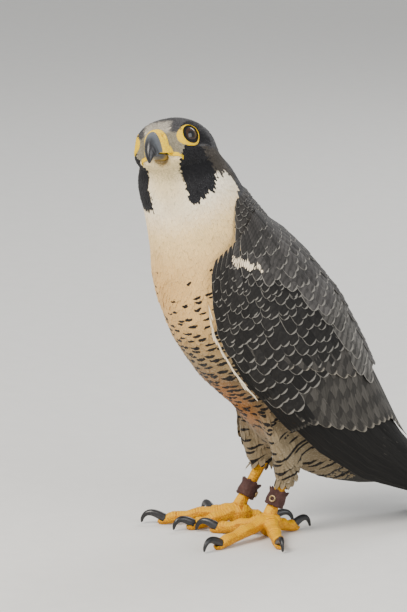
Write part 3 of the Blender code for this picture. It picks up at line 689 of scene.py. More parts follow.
# %% Markings
def plumage(points):
    """Colour, markings and painted shade at points: columns red, green, blue, fringe, bars, spots."""
    head, body = in_head(points), on_body(points)
    x, y, z = head.T
    t, angle = body.T
    frayed = np.array([noise.noise(Vector(p) * 0.55) for p in points])
    frayed += 0.6 * np.array([noise.noise(Vector(p) * 1.7) for p in points])
    turn = np.degrees(np.arctan2(np.abs(x), 12 - y))
    turn_frayed = turn + 4.0 * frayed
    height = z + 2.0 * frayed

    twist = 25 * band(-z, 13, 24) * (x < 0)
    stripe = turn_frayed > lookup(STRIPE, 1, height) + twist
    stripe &= turn_frayed < lookup(STRIPE, 2, height) + 0.7 * twist
    stripe &= (height > STRIPE_END) & (height < -9)
    ear = (turn > 60) & (height > lookup(CHEEK_TOP, 1, turn)) & (height < -4) & (t < 1.9)
    crown = ((height > -9.5) & (turn_frayed > 37)) | (height > 5.0) | ((height > 1.0) & (np.abs(x) > 10))
    middle, half = lookup(NAPE, 1, t), lookup(NAPE, 2, t)
    nape = (np.abs((angle - middle + 180) % 360 - 180) < half + 4 * frayed) & (t < 3.05)
    nape &= (y > 20) & ((height < lookup(CHEEK_TOP, 1, turn) + 6) | (turn_frayed > 128))
    mantle = (angle > 10 + 6 * frayed) & (t > 2.9) & (angle < 172)
    front = np.abs(angle + 90)

    colour = np.empty((len(points), 3))
    colour[:] = COLOURS["white"]

    def tint(name, share):
        share = np.clip(share, 0, 1)[:, None]
        colour[:] = colour * (1 - share) + np.array(COLOURS[name]) * share

    # Painted shade under the bill: the white throat is tinted darker and yellower, as shade and reflected
    # light make it look there.
    tint("throat_painted_shade", band(-z, 12, 18) * band(-y, -8, 4) * 0.75)
    tint("cream", band(t, 1.4, 2.8) * 0.9)
    tint("buff", band(t, 2.2, 4.0) * (1 - band(t, 5.2, 6.6)) * (0.85 - front / 200))
    # Lower down the body the colour turns to the belly's buff-brown, with painted shade on it that makes it
    # darker towards the bottom.
    tint("belly_with_painted_shade", band(t, 4.0, 6.4))
    tint("rust", band(t, 5.6, 6.6) * (1 - band(t, 7.4, 8.2)) * (1 - band(front, 10, 46)) * 0.8)
    legs = band(-(points[:, 2] - 96), 0, 26) * band(t, 5.5, 7.0)
    tint("trousers", legs * 0.8)
    tint("lore", ((y < -7) & (z > -14.5)) * (1 - band(z, 1, 5)) * 0.9)
    tint("ear", ear.astype(float))
    tint("crown", (crown | nape).astype(float))
    brow = band(-y, 5, 13) * (1 - band(z, 8, 13)) * band(z, 0, 3) * (1 - band(np.abs(x), 8, 12))
    tint("forehead", brow * (0.92 + 0.3 * frayed))
    round_eye = (turn > 30) & (np.abs(z + 1) < 15) & (z > -8) & (y < 12) & (np.abs(x) > 17)
    tint("stripe", (stripe | (round_eye & crown)).astype(float))
    hooded = stripe | ear | crown | nape
    tint("back", (mantle & ~hooded).astype(float))
    dark = np.maximum(hooded, mantle).astype(float) * (1 - 0.8 * np.clip(brow, 0, 1))
    grain = np.array([noise.noise(Vector(p) * 0.12 + Vector((31, 7, 3))) for p in points])
    colour *= (1 + 0.10 * grain)[:, None]

    fringe = np.where(dark > 0.5, np.where(mantle & ~hooded, 0.95, 0.30), 0.12)
    fringe = np.where(nape & (t > 2.2), 0.75, fringe)
    light = 1 - np.round(dark)
    spots = light * band(t + 0.25 * frayed, 3.3, 4.3) * (0.45 + 0.55 * band(t, 4.2, 5.6))
    spots = spots * (1 - legs) + light * legs * 0.65
    bars = mantle * band(t, 4.5, 8.0) * 0.6
    return np.column_stack((colour, fringe, bars, spots))


print("markings sampled:", plumage(skin_points[::2000]).shape)

# %% [markdown]
# Spots and bars run on across feathers, so each point also gets its place on the unrolled body. A UV map
# could hold it. Angles round the body, and round each leg lower down, unroll it with seams at the rear.

# %% Places for the marks
def body_places(points):
    """Millimetres round and down the body, for marks that run on from feather to feather."""
    x, y, z = (points - SHIFT - (0, -10, 184)).T
    down = 0.53 * y - 0.85 * z
    ahead = -0.85 * y - 0.53 * z
    near_leg = band(96 - points[:, 2], 0, 20)
    turn = np.arctan2(x, ahead + 22)
    leg_turn = np.arctan2(x - np.sign(x) * 24, ahead + 10) * 0.45
    return np.column_stack((55 * (turn * (1 - near_leg) + leg_turn * near_leg), down))


print("first place for marks, mm:", body_places(skin_points[:1])[0].round(1))

# %% [markdown]
# The skin itself is matt and creased, and shows only where feathers part. It carries the same markings,
# written to a colour attribute on its points, with a fine noise in the shader to break them up.

# %% Skin piece
def write_colour(mesh, name, values):
    layer = mesh.attributes.new(name, "FLOAT_COLOR", "POINT")
    full = np.ones((len(mesh.vertices), 4), np.float32)
    full[:, : values.shape[1]] = values
    layer.data.foreach_set("color", full.ravel())


def write_value(mesh, name, values):
    layer = mesh.attributes.new(name, "FLOAT", "POINT")
    layer.data.foreach_set("value", np.asarray(values, np.float32))


def write_marks(mesh, points, amounts):
    """Where a point lies on the body, and how thick the marks are there."""
    write_colour(mesh, "mark_place", np.column_stack((body_places(points) / 1000 + 0.5, amounts)))


def build_skin_finish():
    finish, w, shader = new_finish("feathered_skin", Specular_IOR_Level=0.2)
    base = with_marks(w, w.attribute("plume_colour").outputs["Color"])
    fine = w.noise(w.place(), 900.0, 3.0, 0.6)
    shade = w.ramp(fine, 0.25, 0.75, 0.6, 1.0)
    shaded = w.blend(1.0, base, w.vector(shade, shade, shade), "MULTIPLY")
    finish_surface(w, shader, shaded, w.ramp(fine, 0.2, 0.8, 0.95, 0.75), fine, 0.5, 0.0004)
    return finish


def point_normals(mesh):
    normals = np.empty(len(mesh.vertices) * 3)
    mesh.vertices.foreach_get("normal", normals)
    return normals.reshape(-1, 3)


def coat_depth(points):
    """How deep the coat is, in mm: thin on the face and thick on breast and belly."""
    head = in_head(points)
    beyond = band(head[:, 1] - 0.45 * head[:, 2], 18, 70)
    bill = (1 - band(head[:, 1], -17, -12)) * 2.0
    return 0.45 + 1.9 * beyond + bill


skin_points = mesh_points(skin_mesh) / MM
skin_points -= point_normals(skin_mesh) * coat_depth(skin_points)[:, None]
skin_mesh.vertices.foreach_set("co", (skin_points * MM).ravel())
skin_mesh.update()
smooth_points(skin_mesh, 2)
skin_points = mesh_points(skin_mesh) / MM
skin_look = plumage(skin_points)
write_colour(skin_mesh, "plume_colour", skin_look[:, :3])
write_marks(skin_mesh, skin_points, skin_look[:, 5])
skin_mesh.shade_smooth()
add_piece("skin", skin_mesh, build_skin_finish(), FLESH)
SKIN_TREE = BVHTree.FromPolygons(skin_points.tolist(), [p.vertices[:] for p in skin_mesh.polygons])

# %% [markdown]
# Body feathers grow from roots spread evenly over the skin, closer on the face than on the belly.
# We throw many seeded random places on the skin and keep those that aren't too near one already kept,
# which gives the uneven but gapless spacing of real feather roots.

# %% Spread of roots
rng = np.random.default_rng(7)


def thrown_places(count):
    faces = np.array([(p.vertices[:] + p.vertices[:1])[:4] for p in skin_mesh.polygons])
    a, b, c, d = (skin_points[faces[:, k]] for k in range(4))
    normal = np.cross(c - a, d - b)
    area = np.linalg.norm(normal, axis=1)
    chosen = rng.choice(len(faces), count, p=area / area.sum())
    s, r = rng.random((2, count, 1))
    places = (a[chosen] * (1 - s) + b[chosen] * s) * (1 - r) + (d[chosen] * (1 - s) + c[chosen] * s) * r
    return places, normal[chosen] / area[chosen][:, None]


def kept_apart(places, spacing):
    """Indices of places, in order, that are at least their spacing away from the ones kept before."""
    cell = spacing.max()
    grid, kept = {}, []
    around = [(i, j, k) for i in (-1, 0, 1) for j in (-1, 0, 1) for k in (-1, 0, 1)]
    keys = np.floor(places / cell).astype(int)
    for i, (key, gap) in enumerate(zip(map(tuple, keys), spacing)):
        near = []
        for step in around:
            near += grid.get((key[0] + step[0], key[1] + step[1], key[2] + step[2]), [])
        if near and (((places[near] - places[i]) ** 2).sum(1) < gap * gap).any():
            continue
        grid.setdefault(key, []).append(i)
        kept.append(i)
    return np.array(kept)


def plume_length(points):
    """Feather length in mm by place: 3 on the face, longest on belly and back."""
    head = in_head(points)
    far = head[:, 1] - 0.6 * head[:, 2]
    size = np.interp(far, (-18, -6, 12, 30, 55, 110), (2.4, 3.0, 4.6, 5.8, 8.0, 12.0))
    low = np.clip((70 - points[:, 2]) / 40, 0, 1)
    return size * (1 - 0.35 * low)


THROWN = 150000
thrown, thrown_normals = thrown_places(THROWN)
lengths = plume_length(thrown)
roots_kept = kept_apart(thrown, lengths * np.interp(lengths, (3, 6, 12), (0.24, 0.19, 0.16)))
print("feather roots kept:", len(roots_kept))

# %% [markdown]
# A feather lies the way air flows over the bird: back over the head, then down the body to the tail.
# Hair could be combed that way by hand. The head frame and the body's own curve already hold both
# directions, so the lie is blended from them and laid flat on the skin.

# %% Lie of the coat
def unit(vectors):
    return vectors / np.maximum(np.linalg.norm(vectors, axis=-1, keepdims=True), 1e-9)


def coat_lie(points, normals):
    head, body = in_head(points), on_body(points)
    ahead = spline_rows(BODY_SECTIONS, np.minimum(body[:, 0] + 0.2, 13))
    behind = spline_rows(BODY_SECTIONS, np.maximum(body[:, 0] - 0.2, 0))
    down = np.zeros((len(points), 3))
    down[:, 1:] = unit(ahead[:, :2] - behind[:, :2])
    turn = np.array(HEAD)[:3, :3]
    low = band(-head[:, 2], 6, 26)
    back = np.column_stack((0.25 * np.sign(head[:, 0]), np.ones(len(points)), -0.25 - 1.3 * low))
    back = unit(back) @ turn.T
    share = band(head[:, 1] - 0.9 * head[:, 2], 18, 62)[:, None]
    lie = unit(back * (1 - share) + down * share)
    leg = (band(96 - points[:, 2], 0, 30) * (np.abs(points[:, 0] + 3) > 8))[:, None]
    lie = unit(lie * (1 - leg) + np.array((0, 0.15, -1.0)) * leg)
    return unit(lie - normals * (lie * normals).sum(1, keepdims=True))


print("lie on the crown:", coat_lie(skin_points[:1], point_normals(skin_mesh)[:1]).round(2))

# %% [markdown]
# One tuft is a thin closed blade: a few flattened rings along its length with a raised shaft.
# We shape it once with bmesh operators and then repeat it thousands of times with arrays,
# because separate objects or modifiers would be slow and the export drops instances.

# %% One blade as a pattern
def blade_pattern(stations, section):
    """Points as (v, u, height) and triangles of one closed blade, shaped by bmesh operators."""
    bm = bmesh.new()
    bridge_rings(bm, [[(v, u * full, w) for u, w in section] for v, full in stations])
    bmesh.ops.recalc_face_normals(bm, faces=bm.faces)
    bmesh.ops.triangulate(bm, faces=bm.faces)
    bm.verts.index_update()
    places = np.array([vert.co[:] for vert in bm.verts])
    faces = np.array([[vert.index for vert in face.verts] for face in bm.faces])
    bm.free()
    fullness = np.interp(places[:, 0], [s[0] for s in stations], [s[1] for s in stations])
    return places, places[:, 1] / fullness, faces


TUFT_SECTION = ((-1.0, 0.0), (0.0, 0.30), (1.0, 0.0))
TUFT = blade_pattern(((0.0, 0.45), (0.35, 0.95), (0.72, 0.95), (0.92, 0.6), (1.0, 0.14)), TUFT_SECTION)
COVERT_SECTION = ((-1.0, 0.0), (-0.5, 0.24), (0.0, 0.36), (0.5, 0.24), (1.0, 0.0), (0.0, -0.25))
COVERT_STATIONS = ((0.0, 0.5), (0.3, 0.9), (0.6, 1.0), (0.8, 1.0), (0.91, 0.86), (0.97, 0.6), (1.0, 0.22))
COVERT = blade_pattern(COVERT_STATIONS, COVERT_SECTION)
FLIGHT_STATIONS = ((0.0, 0.4), (0.1, 0.75), (0.25, 0.95), (0.42, 1.0), (0.6, 1.0), (0.75, 0.93),
                   (0.87, 0.76), (0.95, 0.5), (0.99, 0.24), (1.0, 0.08))
FLIGHT = blade_pattern(FLIGHT_STATIONS, COVERT_SECTION)
for label, pattern in (("tuft", TUFT), ("covert", COVERT), ("flight", FLIGHT)):
    print(label, "blade has", len(pattern[2]), "triangles")

# %% [markdown]
# A coat of thousands of feathers could be hair or instances on points. One mesh of real blades exports
# as it is, so their points are stacked in arrays, and UV maps and attributes go with them.

# %% Many blades as one mesh
def repeated(name, pattern, points, looks, unwraps, seeds):
    """One mesh of many blades; points has one row of places for each blade, in mm."""
    places, across, faces = pattern
    count, size = points.shape[:2]
    triangles = (faces[None] + size * np.arange(count)[:, None, None]).reshape(-1, 3)
    mesh = bpy.data.meshes.new(name)
    mesh.vertices.add(count * size)
    mesh.vertices.foreach_set("co", (points * MM).ravel())
    mesh.loops.add(triangles.size)
    mesh.loops.foreach_set("vertex_index", triangles.ravel())
    mesh.polygons.add(len(triangles))
    mesh.polygons.foreach_set("loop_start", np.arange(0, triangles.size, 3))
    mesh.update(calc_edges=True)
    feather = np.column_stack((across * 0.5 + 0.5, places[:, 0]))
    own = np.tile(feather, (count, 1))
    baked = (unwraps[:, None] + (feather[None] - 0.5) * 0.003).reshape(-1, 2)
    for title, uv in (("Feather", own), ("OFBake", baked)):
        layer = mesh.uv_layers.new(name=title)
        layer.data.foreach_set("uv", uv[triangles.ravel()].ravel())
    write_colour(mesh, "plume_colour", np.repeat(looks[:, :3], size, 0))
    write_colour(mesh, "plume_pattern", np.repeat(looks[:, 3:6], size, 0))
    write_value(mesh, "plume_seed", np.repeat(seeds, size))
    mesh.shade_smooth()
    mesh.set_sharp_from_angle(angle=math.radians(50))
    return mesh


print("blade repeater ready")

# %% [markdown]
# A soft feather starts in the skin, rises along its length and droops at its sides. A hair strand could
# do that too, but it has no vane.

# %% Shape of a tuft
def tuft_points(roots, normals, lies, length, width, lift, sink):
    places = TUFT[0]
    v, u, w = places.T
    sides = np.cross(normals, lies)
    size = np.array((length, width)).T
    along = size[:, :1] * v
    across = size[:, 1:] * 0.5 * u
    rise = -sink[:, None] + (lift + sink)[:, None] * v**1.3 + w * (0.5 + 0.02 * size[:, 1:])
    rise = rise - 0.10 * across**2 / np.maximum(size[:, 1:], 1) * 2
    return (roots[:, None] + lies[:, None] * along[..., None] + sides[:, None] * across[..., None]
            + normals[:, None] * rise[..., None])


def skin_unwrap(points):
    """A place on an unwrap of the skin's own shape: the head as one island and the body as another."""
    head, body = in_head(points), on_body(points)
    turn = np.arctan2(head[:, 0], head[:, 2] + 8) / (2 * math.pi) + 0.5
    on_top = head[:, 1] - 0.5 * head[:, 2] < 38
    crown = np.column_stack((0.02 + 0.44 * turn, 0.04 + 0.9 * np.clip((head[:, 1] + 25) / 80, 0, 1)))
    rest = np.column_stack((0.52 + 0.44 * (body[:, 1] + 180) / 360, 0.04 + 0.9 * body[:, 0] / 13))
    return np.where(on_top[:, None], crown, rest)


print("points in one tuft:", len(TUFT[0]))

# %% [markdown]
# No feather grows on the bill, on the cere, in the rings round the eyes or on the feet. A painted mask
# could say where, but those borders are measured already.

# %% Where tufts grow
EYE_AXES = {}
for side in (1, -1):
    centre = HEAD @ Vector((EYE_CENTRE.x * side, EYE_CENTRE.y, EYE_CENTRE.z))
    gaze = Vector((math.cos(GAZE_FORWARD) * side, -math.sin(GAZE_FORWARD), 0.04))
    EYE_AXES[side] = (centre, (HEAD.to_3x3() @ gaze).normalized())


def eye_frame(side):
    """A frame at the eye: z looks out, x points to the bill and y up."""
    centre, axis = EYE_AXES[side]
    ahead = (HEAD.to_3x3() @ Vector((0, -1, 0))).normalized()
    ahead = (ahead - axis * ahead.dot(axis)).normalized()
    up = axis.cross(ahead) * side
    if up.z < 0:
        up = -up
    turn = Matrix((ahead, up, axis)).transposed().to_4x4()
    return Matrix.Translation(centre) @ turn


# Outer edge of the bare ring: direction in degrees from the bill, upwards positive, and its radius.
RING_EDGE = ((-180, 7.6), (-145, 8.0), (-73, 9.2), (-42, 11.2), (-20, 11.9), (0, 11.5), (33, 9.3), (60, 7.9),
             (105, 7.4), (160, 7.4), (180, 7.6))


def bare_skin(points):
    """True where no feather grows: round the eyes, on bill and cere, on the shanks and under the tail."""
    head = in_head(points)
    bare = (head[:, 1] < -15.0) & (np.abs(head[:, 0]) < 12.0) & (head[:, 2] > -14.5) & (head[:, 2] < 5.0)
    bare |= (head[:, 1] < -19.0) & (head[:, 2] > -15.5)
    for side in (1, -1):
        carry = np.array(eye_frame(side).inverted())
        local = points @ carry[:3, :3].T + carry[:3, 3]
        radius = np.hypot(local[:, 0], local[:, 1])
        heading = np.degrees(np.arctan2(local[:, 1], local[:, 0]))
        bare |= (local[:, 2] > 0) & (local[:, 2] < 16) & (radius < lookup(RING_EDGE, 1, heading) - 0.3)
    return bare | (points[:, 2] < 40)


roots = thrown[roots_kept]
root_normals = thrown_normals[roots_kept]
root_lengths = lengths[roots_kept]
growing = ~bare_skin(roots)
roots, root_normals, root_lengths = roots[growing], root_normals[growing], root_lengths[growing]
root_lies = coat_lie(roots, root_normals)
root_looks = plumage(roots + root_lies * root_lengths[:, None] * 0.55)
print("tufts to grow:", len(roots))

# %% [markdown]
# No two feathers are alike, so seeded random numbers vary their lie, length and shade. The coat is
# split into hood, back and pale parts, because each has a finish of its own and a mesh stays light.

# %% Body coat
wander = rng.normal(0, 1, (3, len(roots)))
root_lies = unit(root_lies + np.cross(root_normals, root_lies) * (0.10 * wander[0])[:, None])
root_lengths = root_lengths * (1 + 0.10 * wander[1])
pale_roots = root_looks[:, 0] > 0.16
root_looks[:, :3] *= (1 + np.where(pale_roots, 0.025, 0.16) * wander[2])[:, None]
seeds = rng.random(len(roots))
mark_amounts = root_looks[:, 5].copy()
root_looks[:, 5] = 0
mantle_roots = ~pale_roots & (root_looks[:, 3] > 0.6)
COAT_PARTS = (
    ("hood_coat", ~pale_roots & ~mantle_roots, HOOD_FEATHER, "plumage_dark", 0.34),
    ("back_coat", mantle_roots, SLATE_FEATHER, "plumage_dark", 0.85),
    ("pale_coat", pale_roots, PALE_FEATHER, "plumage_light", 0.46),
)
MOST_TRIANGLES = 190000
for name, group, finish, slot, plump in COAT_PARTS:
    chosen = np.flatnonzero(group)
    parts = max(1, math.ceil(len(chosen) * len(TUFT[2]) / MOST_TRIANGLES))
    for part, some in enumerate(np.array_split(chosen, parts)):
        size = root_lengths[some]
        points = tuft_points(roots[some], root_normals[some], root_lies[some], size, size * plump,
                             0.10 + 0.02 * size, 0.15 + 0.02 * size)
        unwrap = skin_unwrap(roots[some])
        mesh = repeated(f"{name}_{part}", TUFT, points, root_looks[some], unwrap, seeds[some])
        if name == "pale_coat":
            write_marks(mesh, points.reshape(-1, 3), np.repeat(mark_amounts[some], points.shape[1]))
        add_piece(f"{name}_{part}", mesh, finish)

# %% [markdown]
# The wing is a shell of feathers in tiers: long primaries and secondaries lowest, then the coverts
# over their roots like roof tiles, and the scapulars from the shoulder over the top edge.
# Each tier is a row from the upper to the lower edge of the wing, given by where its first and last
# feathers start and end. Building them in tiers gives the true overlaps that a bump map can't.

# %% Wing tiers
def row(count, roots, tips, width, level, lift=0.8, tilt=0.5, kind="covert", look="slate", jitter=0.0):
    """One row of feathers; roots and tips are places (a, b) from the upper to the lower edge."""
    share = np.linspace(0, 1, count)

    def along_curve(places):
        knots = np.linspace(0, 1, len(places))
        return np.column_stack([np.interp(share, knots, [p[k] for p in places]) for k in (0, 1)])

    root, tip = along_curve(roots), along_curve(tips)
    width = np.interp(share, np.linspace(0, 1, len(width)), width)
    if jitter:
        tip = tip + rng.normal(0, jitter, tip.shape)
        width = width * (1 + 8 * rng.normal(0, jitter, count))
    return {"root": root, "tip": tip, "width": width, "level": level, "lift": lift, "tilt": tilt,
            "kind": kind, "look": look}


PRIMARIES = row(10, ((0.36, 0.46), (0.30, 0.03)), ((0.80, 0.80), (0.93, 0.55), (1.0, 0.24)), (15, 14), 0.2,
                1.2, 0.7, "flight", "primary")
SECONDARIES = row(16, ((0.30, 0.92), (0.30, 0.5), (0.24, 0.14)),
                  ((0.74, 0.90), (0.62, 0.68), (0.54, 0.36), (0.40, 0.12)), (21, 19, 15), 1.0,
                  1.1, 0.8, "flight", "secondary")
PRIMARY_COVERTS = row(8, ((0.20, 0.15), (0.17, 0.03)), ((0.42, 0.17), (0.40, 0.01)), (9, 8), 1.5,
                      0.6, 0.5, "flight", "primary")
GREATER = row(14, ((0.24, 0.90), (0.23, 0.5), (0.10, 0.12)), ((0.50, 0.92), (0.43, 0.48), (0.22, 0.14)),
              (19, 17, 13), 2.0, 0.9, 0.7, "flight", "greater")
ALULA = row(4, ((0.13, 0.12), (0.12, 0.03)), ((0.31, 0.09), (0.30, 0.01)), (8, 7), 2.1, 0.6, 0.4,
            "flight", "primary")
TIERS = [PRIMARIES, SECONDARIES, PRIMARY_COVERTS, GREATER, ALULA]
print("feathers in the long tiers:", sum(len(t["root"]) for t in TIERS))

# %% [markdown]
# The small coverts sit like fish scales: each row is moved by half a feather against the one below.
# They start with big ones near the wing's middle and end with small ones on the shoulder, where they
# sink towards the body so that the shoulder is round. The scapulars form a lobe of their own above.

# %% Small coverts and scapulars
LOBE_EDGE = ((-0.04, 0.10), (0.0, 0.14), (0.03, 0.24), (0.06, 0.35), (0.12, 0.45), (0.17, 0.51), (0.24, 0.54),
             (0.45, 0.57))


def scale_rows(starts, lower, upper, gap, size, reach, level, step, look, tone=(1, 1)):
    """Rows of scales from the lowest to the highest; the values in pairs run from first to last row."""
    for k, a in enumerate(starts):
        share = k / max(len(starts) - 1, 1)
        low, high = lower(a), upper(a)
        count = max(2, int(round((high - low) / (gap[0] + (gap[1] - gap[0]) * share))))
        shift = 0.5 * (k % 2) * (high - low) / count
        wide = size[0] + (size[1] - size[0]) * share
        far = reach[0] + (reach[1] - reach[0]) * share
        roots = ((a, high - shift), (a, low + (high - low) / count - shift))
        tips = ((a + far, high - shift), (a + far, low + (high - low) / count - shift + 0.01))
        sunk = 2.3 * (1 - float(band(np.array(a), -0.05, 0.07)))
        TIERS.append(row(count, roots, tips, (wide, wide), level + step * k - sunk, 0.45, 0.2, "covert", look,
                         0.0055))
        TIERS[-1]["tone"] = tone[0] + (tone[1] - tone[0]) * share


scale_rows(np.linspace(0.27, 0.16, 6), lambda a: 0.02, lambda a: lookup(LOBE_EDGE, 1, a) + 0.06,
           (0.062, 0.050), (11.5, 9.5), (0.095, 0.070), 2.3, 0.12, "slate")
scale_rows(np.linspace(0.142, -0.018, 12), lambda a: 0.0, lambda a: lookup(LOBE_EDGE, 1, a) + 0.05,
           (0.046, 0.038), (8.6, 5.8), (0.060, 0.040), 2.9, 0.08, "slate")
scale_rows(np.linspace(0.38, 0.20, 6), lambda a: lookup(LOBE_EDGE, 1, a), lambda a: 0.98,
           (0.074, 0.066), (14.5, 12.5), (0.120, 0.095), 3.3, 0.10, "scapular", (2.1, 1.7))
scale_rows(np.linspace(0.175, -0.02, 9), lambda a: lookup(LOBE_EDGE, 1, a),
           lambda a: np.interp(a, (-0.02, 0.07), (0.84, 0.98)),
           (0.062, 0.054), (11.5, 7.8), (0.088, 0.052), 3.9, 0.06, "mantle", (1.5, 0.6))
print("feathers in one wing:", sum(len(t["root"]) for t in TIERS))

# %% [markdown]
# White breast feathers spill over the front edge of the folded wing and fill the gap above its shoulder.
# They could be part of the body's coat. As rows of flat blades they keep to the edge.

# %% White down along the wing's front edge
start, end = (0.05, -0.028), (0.25, -0.024)
WHITE_TIERS = [row(26, (start, end), ((0.085, -0.022), (0.285, -0.018)), (0.9, 0.8), 3.4, 0.5, 0.1,
                   "covert", "white", 0.006)]
for k in range(2):
    start, end = (0.004 + 0.004 * k, 0.15 + 0.006 * k), (0.052 + 0.008 * k, 0.34 + 0.01 * k)
    tip_start, tip_end = (start[0] + 0.006, start[1] - 0.008), (end[0] + 0.024, end[1] - 0.022)
    WHITE_TIERS.append(row(16, (start, end), (tip_start, tip_end), (1.5, 1.9, 4.6), 3.2 + 0.1 * k, 0.4, 0.1,
                           "covert", "white", 0.003))
print("white tufts on one wing:", sum(len(t["root"]) for t in WHITE_TIERS))

# %% [markdown]
# Each blade is bent over its form: its length runs from root to tip, its width along b, and its height
# rises to the tip like a roof tile. A Shrinkwrap modifier could lay it down, but not in overlaps.

# %% Blades on a form
def feathered_wing(a, b, height=0.0):
    """The wing form for feathers, sunk at its front edge and at its top so that they meet the coat."""
    sunk = 3.2 * (1 - band(b, -0.02, 0.13)) + 3.4 * (1 - band(a, -0.01, 0.10)) * band(b, 0.60, 0.88)
    return wing_points(a, b, height - sunk)


def blades_on(surface, tier):
    pattern = FLIGHT if tier["kind"] == "flight" else COVERT
    v, u, w = pattern[0].T
    root, tip = tier["root"][:, None], tier["tip"][:, None]
    a = root[..., 0] + (tip[..., 0] - root[..., 0]) * v
    b = root[..., 1] + (tip[..., 1] - root[..., 1]) * v
    level = tier["level"]
    stretch = surface(a, b + 0.01, level) - surface(a, b - 0.01, level)
    stretch = np.linalg.norm(stretch, axis=-1) / 0.02
    half = 0.5 * tier["width"][:, None] / np.maximum(stretch, 12.0)
    height = level - 1.6 * (1 - v) ** 2 + tier["lift"] * v * v
    height = height - tier["tilt"] * u + w - 0.5 * u * u * np.minimum(tier["width"][:, None] / 12, 1)
    return pattern, surface(a, b + half * u, height)


print("tiers to lay on the wing:", len(TIERS) + len(WHITE_TIERS))

# %% [markdown]
# Each kind of feather has its own ground colour, pale fringe and bars, and seeded numbers make each
# feather a little different. They could be finishes of their own, but one table is easier to compare.

# %% Kinds of feathers
# Colour, then how strong the pale fringe and the bars are.
FEATHER_KINDS = {
    "primary": ((0.006, 0.0057, 0.0054), 0.16, 0.0),
    "secondary": ((0.054, 0.050, 0.044), 0.65, 0.60),
    "greater": ((0.052, 0.048, 0.043), 0.90, 0.65),
    "slate": ((0.0150, 0.0140, 0.0133), 0.9, 0.55),
    "scapular": ((0.052, 0.0494, 0.0455), 1.0, 0.60),
    "mantle": ((0.052, 0.049, 0.047), 1.0, 0.45),
    "cape": ((0.030, 0.0275, 0.0255), 1.0, 0.15),
    "white": ((0.84, 0.72, 0.52), 0.1, 0.0),
}


def tier_looks(tier):
    """Colour, fringe and bars of each feather of a tier; the last column, spots, stays empty."""
    count = len(tier["root"])
    look = np.zeros((count, 6))
    colour, fringe, bars = FEATHER_KINDS[tier["look"]]
    spread = 0.03 if tier["look"] == "white" else 0.20
    look[:, :3] = np.array(colour) * tier.get("tone", 1) * (1 + spread * rng.normal(0, 1, (count, 1)))
    look[:, 3], look[:, 4] = fringe, bars
    return look


print("kinds of feathers:", ", ".join(FEATHER_KINDS))

# %% [markdown]
# Tiers that share a finish are joined into one piece. Each feather could be an object, but hundreds of
# them would be slow. The right wing mirrors the left one, with its triangles turned to face outwards.

# %% Feathers of the wings
def mirrored_points(points):
    flipped = points.copy()
    flipped[..., 0] = 2 * SHIFT[0] - flipped[..., 0]
    return flipped


def feather_mesh(name, made, mirror):
    """Joins the blades of several tiers, each with its own pattern, into one mesh."""
    bm = bmesh.new()
    for k, (pattern, points, look, unwrap, seed) in enumerate(made):
        if mirror:
            pattern = (pattern[0], pattern[1], pattern[2][:, ::-1])
            points = mirrored_points(points)
            unwrap = unwrap + np.array((0.0, 0.5))
        part = repeated(f"{name}_{k}", pattern, points, look, unwrap, seed)
        bm.from_mesh(part)
        bpy.data.meshes.remove(part)
    mesh = bpy.data.meshes.new(name)
    bm.to_mesh(mesh)
    bm.free()
    mesh.shade_smooth()
    mesh.set_sharp_from_angle(angle=math.radians(50))
    return mesh


def made_tiers(tiers, surface, spread_b):
    made = []
    for tier in tiers:
        pattern, points = blades_on(surface, tier)
        unwrap = np.column_stack((0.06 + tier["root"][:, 0] * 0.88, 0.06 + tier["root"][:, 1] * spread_b))
        made.append((pattern, points, tier_looks(tier), unwrap, rng.random(len(points))))
    return made


wing_tiers_made = made_tiers(TIERS, feathered_wing, 0.40)
white_tiers_made = made_tiers(WHITE_TIERS, feathered_wing, 0.40)
long_tiers = [m for m, t in zip(wing_tiers_made, TIERS) if t["kind"] == "flight"]
small_tiers = [m for m, t in zip(wing_tiers_made, TIERS) if t["kind"] == "covert"]
for side, flip in (("left", False), ("right", True)):
    add_piece(f"wing_{side}_flight_feathers", feather_mesh(f"flight_{side}", long_tiers, flip),
              FLIGHT_FEATHER, (f"wing_{side}",))
    add_piece(f"wing_{side}_coverts", feather_mesh(f"coverts_{side}", small_tiers, flip),
              SLATE_FEATHER)
    edge = feather_mesh(f"white_edge_{side}", white_tiers_made, flip)
    write_marks(edge, np.zeros((len(edge.vertices), 3)), np.zeros(len(edge.vertices)))
    add_piece(f"wing_{side}_white_edge", edge, PALE_FEATHER)

# %% [markdown]
# From the nape to the shoulders lies a cape of short dark feathers that bridges neck, back and both
# wings, so that no step shows where one form meets the next. It could be part of the body's coat, but
# its feathers are bigger and lie in rows, so it is laid like the wing's coverts, on the body's own form
# raised little by little to the height of the wings.

# %% Cape over the upper back
# Place t on the body, then the angle where the cape ends at the side, and how far it stands out in mm.
CAPE_SIDE = ((2.3, 26), (2.8, 12), (3.3, 4), (3.9, 2))
CAPE_LEVEL = ((2.3, 0.1), (2.6, 1.0), (3.0, 2.8), (3.3, 4.6), (4.0, 7.5))


def cape_points(a, b, height=0.0):
    """Places over the upper back, measured out from the skin itself."""
    t = 2.3 + 1.7 * a
    low = lookup(CAPE_SIDE, 1, t)
    form = form_points(BODY_SECTIONS, t, low + (180 - 2 * low) * b)
    level = (height + lookup(CAPE_LEVEL, 1, t) + 0 * b).ravel()
    placed = []
    for spot, out in zip(form.reshape(-1, 3), level):
        skin_place, normal = SKIN_TREE.find_nearest(Vector(spot))[:2]
        placed.append(skin_place + normal * out)
    return np.array(placed).reshape(form.shape)


